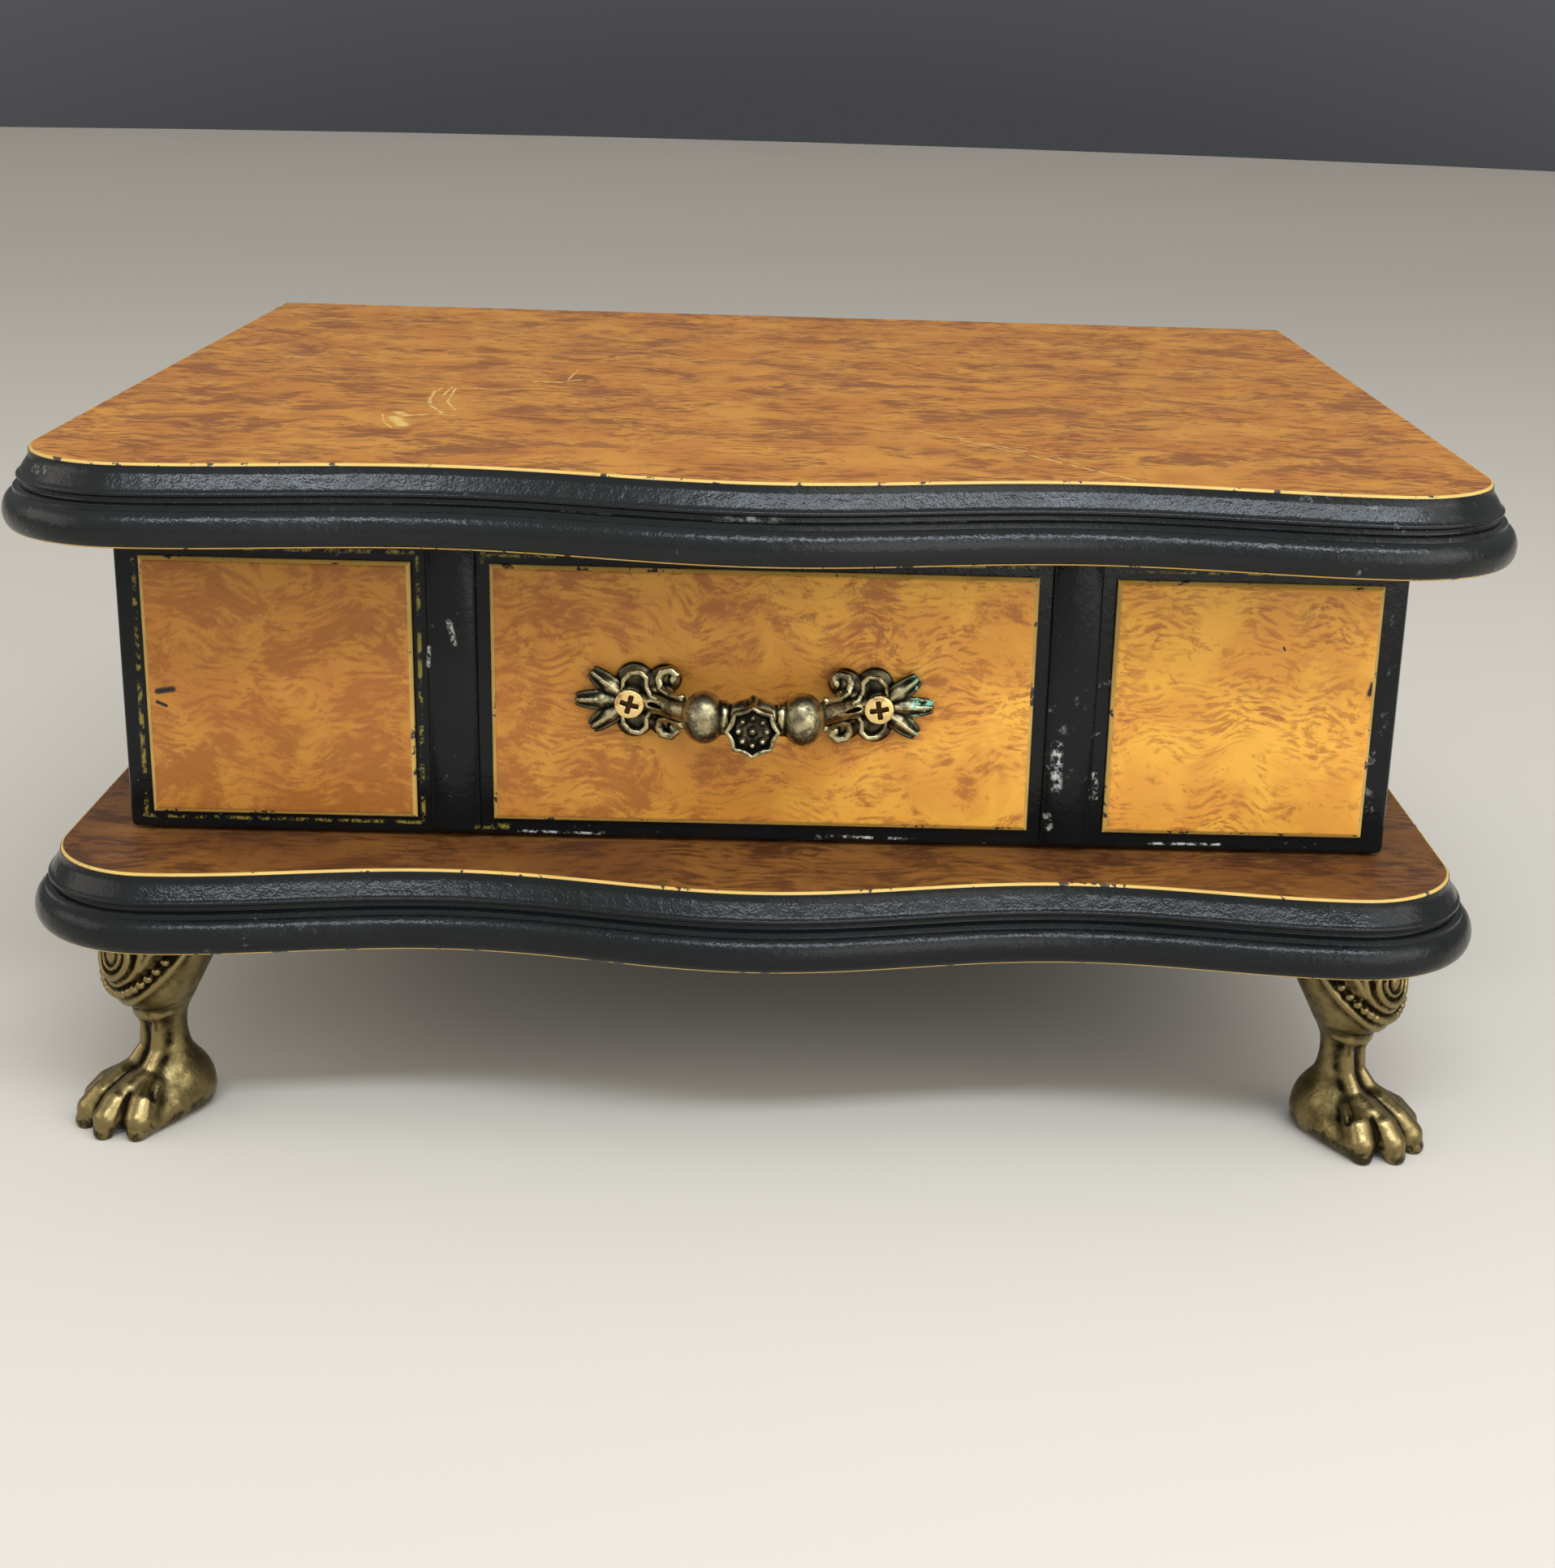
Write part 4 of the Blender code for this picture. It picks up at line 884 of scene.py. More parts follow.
def add_knee(clay):
    """Cartouche, beaded border and flutes on the knee, and the crease under it."""
    for drop, radius in ((1.1, 0.52), (-1.1, 0.48)):
        path = [on_leg(d, z, 0.35) for d, z in shield_path(drop, 88, 30) if z < KNEE_TOP]
        clay.rod(path, radius * MM, 0.25 * MM, cut=True)
    for degrees, z in shield_path(0.0, 84, 24):
        if z < 34.6:
            clay.ball(on_leg(degrees, z, 0.3), 0.80 * MM, 0.05 * MM)
    path = [on_leg(d, z, 0.0) for d, z in shield_path(2.2, 92, 30) if z < KNEE_TOP]
    clay.rod(path, 0.50 * MM, 0.5 * MM)
    inner = [on_leg(d, z, -0.05) for d, z in shield_path(-1.5, 66, 24) if z < KNEE_TOP]
    clay.rod(inner, 0.34 * MM, 0.2 * MM)
    for wide, tall, radius, out in ((25, 3.7, 0.62, 0.25), (14.5, 2.2, 0.34, 0.2)):
        turns = np.linspace(0, 2 * math.pi, 25)
        ring = [on_leg(wide * math.cos(t), 29.9 + tall * math.sin(t), out) for t in turns]
        clay.rod(ring, radius * MM, 0.15 * MM)
    clay.ball(on_leg(0, 29.9, -0.2), mm(0.9, 1.2, 1.6), 0.2 * MM)
    for side in (-1, 1):
        scroll = [(side * 33, 33.5), (side * 38, 31.0), (side * 36, 28.6), (side * 28, 26.6),
                  (side * 14, 25.6)]
        clay.rod([on_leg(d, z, 0.05) for d, z in scroll], mm(0.55, 0.6, 0.5, 0.4, 0.25), 0.2 * MM)
        leaf = [(side * 50, 34.0), (side * 47, 31.2), (side * 40, 28.4)]
        clay.rod([on_leg(d, z, 0.0) for d, z in leaf], mm(0.7, 0.6, 0.3), 0.25 * MM)
    crease = [on_leg(d, 19.6 + 1.2 * abs(d / 90) ** 2, 0.25) for d in range(-90, 91, 15)]
    clay.rod(crease, [(0.55 - 0.4 * abs(i / 6 - 1)) * MM for i in range(13)], 0.4 * MM, cut=True)
    fold = [on_leg(d, 18.3 + 1.0 * abs(d / 90) ** 2, -0.3) for d in range(-75, 76, 15)]
    clay.rod(fold, [(1.1 - 0.6 * abs(i / 5 - 1)) * MM for i in range(11)], 0.8 * MM)


def add_paw(clay):
    """Heel, instep and sides in one smooth mass, short toes at its front, and two tendons down to them."""
    clay.ball(mm(-1.2, 0, 4.6), mm(5.7, 5.5, 5.4), 2.4 * MM)
    clay.ball(mm(2.6, 0, 4.2), mm(8.6, 6.4, 4.9), 2.6 * MM)
    clay.ball(mm(6.4, 0, 2.6), mm(6.6, 7.3, 3.6), 1.6 * MM)
    for degrees, reach, radius in TOES:
        turn = math.radians(degrees)
        forward, aside = math.cos(turn), math.sin(turn)
        line = [(2.0, 8.0)] + [(share * reach, z) for share, z in TOE_LINE]
        toe = [mm((TOE_ROOT + r) * forward, r * aside * 1.08 + aside, z) for r, z in line]
        clay.rod(toe, [radius * s * MM for s in (0.45, 0.85, 1.0, 0.92, 0.66)], 0.75 * MM)
    for side in (-1, 1):
        sole = [mm(-3.6, side * 2.2, 3.0), mm(3.0, side * 5.0, 2.7), mm(8.2, side * 6.4, 1.9)]
        clay.rod(sole, mm(2.6, 2.5, 1.9), 1.8 * MM)
    for degrees, reach in ((-22.5, 13.0), (0, 14.2), (22.5, 13.0)):
        turn = math.radians(degrees)
        line = [(share * reach, z) for share, z in GAP_LINE]
        gap = [mm((TOE_ROOT + r) * math.cos(turn), (r + TOE_ROOT) * math.sin(turn), z) for r, z in line]
        clay.rod(gap, mm(0.2, 0.32, 0.36, 0.34, 0.25), 0.35 * MM, cut=True)
    for side in (-1, 1):
        tendon = [on_leg(side * 46, 18.6, 0.3), on_leg(side * 34, 15.4, 0.1), on_leg(side * 30, 11.8, 0.0),
                  mm(5.3, side * 2.3, 8.7), mm(8.6, side * 2.9, 7.0)]
        clay.rod(tendon, mm(0.3, 0.85, 1.0, 1.2, 1.2), 1.2 * MM)
        groove = [on_leg(side * 74, 16.8, 0.5), on_leg(side * 66, 13.0, 0.45),
                  mm(3.8, side * 5.0, 9.5), mm(6.4, side * 6.2, 7.0), mm(8.6, side * 7.2, 4.6)]
        clay.rod(groove, mm(0.35, 0.45, 0.5, 0.45, 0.3), 0.7 * MM, cut=True)


def foot_mesh():
    clay = Clay((-19.5 * MM, -11.5 * MM, -1.0 * MM), (17.5 * MM, 11.5 * MM, FOOT_TOP + 1.5 * MM), FOOT_STEP)
    clay.apply(leg_shape, mm(-11, -11, 2.0), (11 * MM, 11 * MM, FOOT_TOP))
    add_paw(clay)
    add_knee(clay)
    clay.block((-18.0 * MM, -5.0 * MM, FOOT_TOP - 1.8 * MM), (0, 5.0 * MM, FOOT_TOP), 0.5 * MM, 0.6 * MM)
    clay.block(mm(-25, -15, -9), mm(25, 15, 0.05), cut=True)
    clay.block((-25 * MM, -15 * MM, FOOT_TOP), (25 * MM, 15 * MM, FOOT_TOP + 9 * MM), cut=True)
    return clay.mesh("foot", 0.34 * MM, 14)


def foot_places():
    x = HALF_WIDTH - FOOT_INSET
    front = MEAN_FRONT_Y - FRONT_WAVE + FRONT_CROWN + FOOT_INSET
    for end, y, forward in (("front", front, -1), ("rear", BACK_Y - FOOT_INSET, 1)):
        for side, sign in LEFT_RIGHT:
            yield f"foot_{end}_{side}", (sign * x, y, 0.0), math.atan2(forward, sign)


def make_feet():
    mesh = foot_mesh()
    for node, place, turn in foot_places():
        foot = new_piece(f"{node}_cast", mesh, "case", (looks["gold"],), [node])
        foot.matrix_world = Matrix.Translation(place) @ Matrix.Rotation(turn, 4, "Z")
        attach(foot, "case")


# ================================================================ handle
HANDLE_STEP = 0.15 * MM
handle_low, handle_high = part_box("handle")
left_screw_low, left_screw_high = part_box("handle_screw_left")
right_screw_low, right_screw_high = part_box("handle_screw_right")
SCREW_Z = (left_screw_low.z + left_screw_high.z) / 2
SCREW_LEFT_X = (left_screw_low.x + left_screw_high.x) / 2
SCREW_RIGHT_X = (right_screw_low.x + right_screw_high.x) / 2
HANDLE_X = (SCREW_LEFT_X + SCREW_RIGHT_X) / 2
GRIP_OUT = 9.5  # mm from the back of the plates to the grip's middle
BALL_X = 7.8
SCREW_SEAT = 2.6 * MM  # radius of the dish that the screw's head sits in
# Rosette in mm from its screw: (towards the grip, up, out). Each line is mirrored below the screw.
ARCH = ((-1.2, 2.0, 1.8), (-1.0, 3.6, 2.0), (0.2, 4.9, 2.2), (1.7, 5.1, 2.3), (2.7, 4.1, 2.3),
        (2.7, 2.5, 2.3), (3.4, 1.3, 2.6), (5.0, 0.95, 3.6), (7.2, 0.9, 5.6), (9.4, 0.9, 7.6))
HOOK = ((8.6, 2.3, 6.6), (6.6, 2.0, 4.4), (5.0, 2.6, 2.9), (4.6, 4.0, 2.3), (5.2, 5.2, 2.2), (6.6, 5.5, 2.2),
        (7.4, 4.7, 2.2), (7.1, 3.9, 2.2))
ARCH_RADII = (0.34, 0.42, 0.50, 0.50, 0.46, 0.42, 0.46, 0.54, 0.58, 0.6)
HOOK_RADII = (0.66, 0.58, 0.55, 0.62, 0.70, 0.74, 0.78, 0.85)
BACK_PLATES = (  # place, radii
    ((0.7, 3.4, 0.4), (3.0, 1.0, 2.9)), ((5.6, 3.6, 0.5), (2.7, 1.2, 2.5)), ((3.4, 2.6, 0.5), (2.4, 1.2, 2.2)),
)
STEM = ((2.0, 0.9), (4.5, 2.4), (7.2, 4.8), (10.5, 7.4))  # from the rosette to the ball: inwards, out
STEM_GROOVE = ((3.2, 2.9), (5.6, 4.9), (8.4, 7.4))
LEAVES = ((0, 8.9), (37, 7.9), (-37, 7.9))  # degrees from outwards, reach


def rosette_place(sign, screw_x):
    """Turns (towards the grip, up, out) in mm into a point on one side of the handle."""
    def place(inward, up, out):
        return (screw_x - sign * inward * MM, handle_high.y - out * MM, SCREW_Z + up * MM)
    return place


def add_leaf(clay, place, degrees, reach):
    """A leaf of three flutes that fan out from the screw and meet at a tip."""
    turn = math.radians(degrees)
    for aside, out, radius in ((-1.10, 1.25, 0.42), (0.0, 1.85, 0.50), (1.10, 1.25, 0.42)):
        line = []
        for share in (0.3, 0.5, 0.72, 0.88, 0.96):
            along = reach * share
            off = aside * (0.50 + 0.72 * math.sin(math.pi * min(share, 0.95)) ** 0.6)
            x = -(along * math.cos(turn) - off * math.sin(turn))
            line.append(place(x, along * math.sin(turn) + off * math.cos(turn), out * (1 - 0.35 * share**3)))
        clay.rod(line, [radius * s * MM for s in (0.7, 1.0, 1.05, 1.0, 0.8)], 0.10 * MM)
    spine = [place(-reach * s * math.cos(turn), reach * s * math.sin(turn), 0.6) for s in (0.1, 0.5, 0.86)]
    clay.rod(spine, mm(1.25, 1.6, 1.0), 0.2 * MM)


def add_rosette(clay, sign, screw_x):
    place = rosette_place(sign, screw_x)
    for degrees, reach in LEAVES:
        add_leaf(clay, place, degrees, reach)
    for way in (1, -1):
        for (inward, up, out), radii in BACK_PLATES:
            clay.ball(place(inward, way * up, out), mm(*radii), 0.3 * MM)
        clay.rod([place(3.0, way * 1.6, 1.0), place(6.0, way * 2.0, 2.6)], 1.0 * MM, 0.4 * MM)
        for line, radii in ((ARCH, ARCH_RADII), (HOOK, HOOK_RADII)):
            clay.rod([place(i, way * u, o) for i, u, o in line], mm(*radii), 0.10 * MM)
    clay.rod([place(i, 0, o) for i, o in STEM], mm(1.7, 1.5, 1.7, 2.0), 0.4 * MM)
    clay.rod([place(i, 0, o) for i, o in STEM_GROOVE], 0.38 * MM, 0.2 * MM, cut=True)
    clay.ball(place(0, 0, 0), mm(3.0, 2.6, 3.0), 0.2 * MM)
    clay.rod([place(0, 0, 5.1), place(0, 0, 9.0)], SCREW_SEAT, 0, cut=True)


def add_grip(clay):
    """Balls, collars, a waisted grip with a spine on top, and the medallion's disc, rim and dots."""
    y = handle_high.y - GRIP_OUT * MM

    def place(x, up, out):
        return (HANDLE_X + x * MM, y - out * MM, SCREW_Z + up * MM)

    for side in (-1, 1):
        clay.ball(place(side * BALL_X, 0, 0), mm(3.5, 3.8, 4.25), 0.3 * MM)
        turns = np.linspace(0, 2 * math.pi, 25)
        ring = [place(side * 4.5, 2.1 * math.cos(t), 1.8 * math.sin(t)) for t in turns]
        clay.rod(ring, 0.75 * MM, 0.4 * MM)
    clay.ball(place(0, 0, 0), mm(5.2, 2.6, 3.1), 0.3 * MM)
    clay.rod([place(0, 2.6, -1.4), place(0, 3.2, 0.4), place(0, 2.3, 2.4)], mm(0.7, 0.75, 0.6), 0.5 * MM)
    centre, radius = place(0, -1.2, 2.8), 4.45 * MM
    sag = 0.13  # how deep the medallion's edge dips between its points, as a share of its radius

    def star(x, z):
        turn = np.arctan2(z - centre[2], x - centre[0])
        edge = radius * (1 - sag * np.abs(np.sin(4 * turn)) ** 0.8)
        return np.hypot(x - centre[0], z - centre[2]) - edge

    def disc(x, y, z):
        return np.maximum(star(x, z), np.abs(y - centre[1]) - 0.55 * MM)

    def rim(x, y, z):
        return np.hypot(star(x, z) + 0.38 * MM, y - centre[1] + 0.85 * MM) - 0.40 * MM

    low = (centre[0] - radius, centre[1] - 1.3 * MM, centre[2] - radius)
    high = (centre[0] + radius, centre[1] + 0.9 * MM, centre[2] + radius)
    clay.apply(disc, low, high, 0.15 * MM)
    clay.apply(rim, low, high, 0.08 * MM)
    front = centre[1] - 0.62 * MM
    clay.ball((centre[0], front, centre[2]), 0.58 * MM, 0.05 * MM)
    for i in range(8):
        turn = math.pi / 4 * i
        dot = (centre[0] + 2.25 * MM * math.sin(turn), front, centre[2] + 2.25 * MM * math.cos(turn))
        clay.ball(dot, 0.46 * MM, 0.05 * MM)


def make_handle():
    room = Vector((1.5 * MM,) * 3)
    clay = Clay(handle_low - room * 1.4, handle_high + room, HANDLE_STEP)
    add_rosette(clay, -1, SCREW_LEFT_X)
    add_rosette(clay, 1, SCREW_RIGHT_X)
    add_grip(clay)
    clay.block((-1, handle_high.y, -1), (1, handle_high.y + 1, 1), cut=True)
    mesh = clay.mesh("handle_cast", 0.16 * MM, 10)
    new_piece("handle_cast", mesh, "drawer", (looks["bronze"],), ["handle"])


# ================================================================ screws and hinges
def screw_mesh(name, head, thick, shank):
    """A pan-head screw along +Z: the head's underside is at zero, with a stub of the shank through it."""
    room = 0.3 * MM
    clay = Clay((-head - room,) * 2 + (-2 * room,), (head + room,) * 2 + (thick + room,), head / 20)
    dome = 4.5 * head

    def pan(x, y, z):
        away = np.hypot(x, y)
        top = np.sqrt(away**2 + (z - thick + dome) ** 2) - dome
        return np.maximum(np.maximum(away - head, top), -z)

    clay.apply(pan, (-head, -head, 0), (head, head, thick))
    long, short, floor = 0.66 * head, 0.17 * head, 0.30 * thick
    for half_x, half_y in ((long, short), (short, long)):
        clay.block((-half_x, -half_y, floor), (half_x, half_y, thick * 2), 0.04 * head, 0.03 * head, cut=True)
    clay.apply(lambda x, y, z: np.maximum(np.hypot(x, y) - shank, np.abs(z) - 0.25 * thick),
               (-shank, -shank, -0.25 * thick), (shank, shank, 0.25 * thick))
    mesh = clay.mesh(name, 0.12 * MM, 6, 50)
    # the cross recess is marked fully hollow, so that the brass look paints near-black shade in it
    for point, hollow in zip(mesh.vertices, mesh.attributes["hollow"].data):
        if point.co.z < 0.72 * thick and point.co.xy.length < 0.75 * head:
            hollow.value = 1.0
    return mesh


def make_screws():
    """Each screw stands for its own node, and screws of one size share a mesh."""
    kinds = (  # nodes' prefix, the way the head faces, and in mm its radius and thickness and the shank's radius
        ("handle_screw", "y", -1, (2.35, 1.35, 1.1)),
        ("foot_screw", "z", -1, (3.0, 1.8, 1.5)),
        ("hinge_screw", "y", 1, (1.4, 0.85, 0.7)),
    )
    for prefix, axis, way, sizes in kinds:
        mesh = screw_mesh(prefix, *[size * MM for size in sizes])
        for node in sorted(n for n in frame["nodes"] if n.startswith(prefix)):
            low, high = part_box(node)
            middle = (low + high) / 2
            out = Vector((0, way, 0)) if axis == "y" else Vector((0, 0, way))
            index = 1 if axis == "y" else 2
            top = high[index] if way > 0 else low[index]
            seat = middle.copy()
            seat[index] = top - way * 0.68 * sizes[0] * MM
            body = body_of(node)
            screw = new_piece(f"{node}_brass", mesh, body, (looks["brass"],), [node])
            spin = Matrix.Rotation(math.radians(sum(map(ord, node)) * 37 % 90), 4, "Z")
            turn = out.to_track_quat("Z", "Y").to_matrix().to_4x4()
            screw.matrix_world = Matrix.Translation(seat) @ turn @ spin
            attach(screw, body)


def make_leaf(node):
    """A hinge leaf: a plate with eased edges, and knuckles rolled round the pin."""
    low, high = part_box(node)
    pin_low, pin_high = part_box(node.replace("leaf_case", "pin").replace("leaf_lid", "pin"))
    pin = (pin_low + pin_high) / 2
    way = 1 if (low.z + high.z) / 2 > pin.z else -1
    radius = high.y - pin.y
    thick, ease = 0.9 * MM, 0.12 * MM
    plate_z = sorted((pin.z + way * (radius + 0.6 * MM), high.z if way > 0 else low.z))
    bm = soft_grid((low.x, low.y, plate_z[0]), (high.x, low.y + thick, plate_z[1]), ease, (20, 2, 6))
    pitch = (high.x - low.x) / 3
    spans = [1] if "leaf_lid" in node else [0, 2]
    for span in spans:
        x0, x1 = low.x + span * pitch + 0.15 * MM, low.x + (span + 1) * pitch - 0.15 * MM
        outline = arc((pin.y, pin.z), radius, 180, 180 - way * 300, 30)
        outer = [(low.y, plate_z[0] + 0.3 * MM if way > 0 else plate_z[1] - 0.3 * MM)] + outline
        inner = arc((pin.y, pin.z), radius - thick, 180 - way * 300, 180 - way * 50, 24)
        outline = outer + inner + [(low.y + thick, outer[0][1])]
        rings = [[(x, y, z) for y, z in outline] for x in (x0, x1)]
        knuckle = loft(rings)
        part = bpy.data.meshes.new("knuckle")
        knuckle.to_mesh(part)
        knuckle.free()
        bm.from_mesh(part)
        bpy.data.meshes.remove(part)
    new_piece(f"{node}_brass", mesh_of(node, bm, 40), body_of(node), (looks["brass"],), [node])


def make_pin(node):
    low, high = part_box(node)
    radius, length = (high.z - low.z) / 2, high.x - low.x
    dome = 0.35 * MM
    ends = arc((0, 0), (radius, dome), 80, 0, 4)
    profile = [(x, -length / 2 - y + dome) for x, y in ends]
    profile += [(x, length / 2 + y - dome) for x, y in reversed(ends)]
    mesh = mesh_of(node, lathe(profile, 24), 50)
    pin = new_piece(f"{node}_brass", mesh, "case", (looks["brass"],), [node])
    pin.matrix_world = Matrix.Translation((low + high) / 2) @ Matrix.Rotation(math.pi / 2, 4, "Y")
    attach(pin, "case")


# ================================================================ velvet and mirror
CLOTH_FRAMES = 20
CLOTH_PRESSURE = 4.0
WALL_CELL = 3 * MM
WALL_SOFTNESS = 0.12 * MM


def inflate(piece, pressure, cap, low, high):
    """Cloth simulation: the piece swells by up to cap, and lies flat where it meets the box it sits in."""
    start = np.array([v.co for v in piece.data.vertices])
    cloth = piece.modifiers.new("cloth", "CLOTH")
    settings = cloth.settings
    settings.use_pressure = True
    settings.uniform_pressure_force = pressure
    settings.effector_weights.gravity = 0
    settings.mass = 0.02
    settings.tension_stiffness = settings.compression_stiffness = settings.shear_stiffness = 8
    settings.bending_stiffness = 0.05
    cloth.collision_settings.use_collision = False
    cloth.point_cache.frame_start, cloth.point_cache.frame_end = 1, CLOTH_FRAMES
    for number in range(1, CLOTH_FRAMES + 1):
        bpy.context.scene.frame_set(number)
    shown = piece.evaluated_get(bpy.context.evaluated_depsgraph_get())
    end = np.array([v.co for v in shown.data.vertices])
    piece.modifiers.remove(cloth)
    bpy.context.scene.frame_set(1)
    move = end - start
    length = np.linalg.norm(move, axis=1, keepdims=True)
    move *= np.minimum(1.0, cap / np.maximum(length, 1e-9))
    ready = np.clip(start + move, np.array(low), np.array(high))
    piece.data.vertices.foreach_set("co", ready.ravel())
    piece.data.update()


def make_cushion(node, shrink, rounding, cell, cap):
    """A velvet pad that fills the CAD pad's box, swollen by cloth simulation."""
    name = f"{node}_velvet"
    low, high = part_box(node)
    inner_low = low + Vector((shrink, shrink, 0.0))
    inner_high = high - Vector((shrink, shrink, cap * 0.9))
    size = inner_high - inner_low
    counts = [max(2, round(s / c)) for s, c in zip(size, cell)]
    mesh = mesh_of(name, soft_grid(inner_low, inner_high, rounding, counts), None)
    piece = new_piece(name, mesh, body_of(node), (looks["velvet"],), [node])
    inflate(piece, CLOTH_PRESSURE, cap, low, high)
    smooth = piece.modifiers.new("smooth", "SUBSURF")
    smooth.levels = smooth.render_levels = 1
    apply_modifiers(piece)


def rounded_loop(low, high, radius, z, steps=6, side_steps=30):
    """A level rectangle with round corners, as a closed ring of points."""
    radius = max(radius, 0.05 * MM)
    corners = ((high[0] - radius, high[1] - radius, 0), (low[0] + radius, high[1] - radius, 90),
               (low[0] + radius, low[1] + radius, 180), (high[0] - radius, low[1] + radius, 270))
    turns = [arc((x, y), radius, start, start + 90, steps) for x, y, start in corners]
    loop = []
    for turn, following in zip(turns, turns[1:] + turns[:1]):
        a, b = turn[-1], following[0]
        loop += turn
        loop += [(a[0] + (b[0] - a[0]) * i / side_steps, a[1] + (b[1] - a[1]) * i / side_steps)
                 for i in range(1, side_steps)]
    return [(x, y, z) for x, y in loop]


def make_lining():
    """The lid's velvet lining, softly padded, with an opening that frames the mirror."""
    low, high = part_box("lid_lining")
    glass_low, glass_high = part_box("mirror")
    gap = 0.3 * MM
    inner_low, inner_high = glass_low - Vector((gap, gap, 0)), glass_high + Vector((gap, gap, 0))
    drop = 1.0 * MM
    rings = []
    steps = 14
    for i in range(steps + 1):
        share = i / steps
        bulge = math.sin(math.pi * share) ** 0.45
        z = high.z - (high.z - low.z) * (0.35 + 0.65 * bulge) - drop * 0.35 * bulge
        a = [low[k] + (inner_low[k] - low[k]) * share for k in (0, 1)]
        b = [high[k] + (inner_high[k] - high[k]) * share for k in (0, 1)]
        rings.append(rounded_loop(a, b, 1.2 * MM * (1 - share), z))
    rings.append(rounded_loop(inner_low[:2], inner_high[:2], 0.0, high.z))
    rings.append(rounded_loop(low[:2], high[:2], 1.2 * MM, high.z))
    mesh = mesh_of("lid_lining_velvet", loft(rings, closed=True), 60)
    lining = new_piece("lid_lining_velvet", mesh, "lid", (looks["velvet"],), ["lid_lining"])


def make_mirror():
    """Mirror glass with a broad ground bevel."""
    low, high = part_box("mirror")
    bevel, rise = 5.0 * MM, 0.55 * MM
    rings = []
    edge = low.z + rise
    for inset, z in ((0.0, high.z), (0.0, edge + 0.1 * MM), (0.08 * MM, edge), (bevel, low.z)):
        rings.append(rounded_loop([v + inset for v in low[:2]], [v - inset for v in high[:2]], 0.6 * MM, z))
    mesh = mesh_of("mirror_glass", loft(rings), 5)
    new_piece("mirror_glass", mesh, "lid", (looks["mirror"],), ["mirror"])


def make_wall(node):
    """A velvet-wrapped divider: a board across X with a round top edge and slightly wavy cloth."""
    name = f"{node}_velvet"
    low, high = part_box(node)
    size = high - low
    counts = [max(4, round(s / WALL_CELL)) for s in size]
    bm = soft_grid(low, high, min(size.x * 0.48, 1.4 * MM), counts)
    for vert in bm.verts:
        wave = smooth_noise(vert.co * 90) * WALL_SOFTNESS
        side = 1 if vert.co.x > (low.x + high.x) / 2 else -1
        vert.co.x -= side * (0.5 * WALL_SOFTNESS + 0.5 * wave)
    mesh = mesh_of(name, bm, 60)
    new_piece(name, mesh, body_of(node), (looks["velvet"],), [node])


def make_soft_pieces():
    for i in (1, 2, 3):
        make_cushion(f"ring_roll_{i}", 0.9 * MM, 3.6 * MM, mm(2.4, 2.4, 2.2), 2.2 * MM)
    for node in ("tray_pad_left", "tray_pad_centre", "tray_pad_right", "drawer_pad"):
        make_cushion(node, 0.25 * MM, 0.7 * MM, mm(3.4, 3.4, 0.9), 0.7 * MM)
    for node in ("tray_divider_left", "tray_divider_right", "drawer_divider"):
        make_wall(node)


# ================================================================ kept CAD nodes
def dress(node, look):
    """A kept CAD node: gets its look, and its sharp edges are eased."""
    piece = frame["nodes"][node]
    mesh = piece.data
    mesh.materials.clear()
    mesh.materials.append(looks[look])
    mesh.shade_smooth()
    normals = mesh.attributes.get("custom_normal")
    if normals:
        mesh.attributes.remove(normals)
    weld = piece.modifiers.new("weld", "WELD")
    weld.merge_threshold = 1e-5
    ease = piece.modifiers.new("ease", "BEVEL")
    ease.width, ease.segments, ease.limit_method = 0.25 * MM, 2, "ANGLE"
    ease.angle_limit = math.radians(40)
    ease.harden_normals = True


KEPT = (
    ("paint", ("case_side_left", "case_side_right", "case_back")),
    ("front_paint", ("drawer_front",)),
    ("wood_along", ("drawer_runner_left", "drawer_runner_right", "drawer_side_left", "drawer_side_right")),
    ("wood_across", ("drawer_back", "drawer_bottom", "drawer_stop", "tray_rail")),
    ("velvet", ("tray_floor",)),
)


# ================================================================ camera and light
def area_light(name, place, target, size, power, colour):
    light = bpy.data.lights.new(name, "AREA")
    light.shape, light.size, light.size_y = "RECTANGLE", *size
    light.energy, light.color = power, colour
    lamp = add_object(name, light)
    lamp.location = place
    lamp.rotation_euler = (Vector(target) - Vector(place)).to_track_quat("-Z", "Y").to_euler()


SKY_SLOPE = (0, -0.30, 0.30)  # the sky is lighter upwards and towards the front
SKY_MIDDLE = 0.31  # place in the tones of what lies level with the camera, to the sides
SKY_TONES = ((0.0, (0.045, 0.046, 0.050, 1)), (1.0, (1.0, 0.985, 0.96, 1)))
SKY_STRENGTH = 1.25


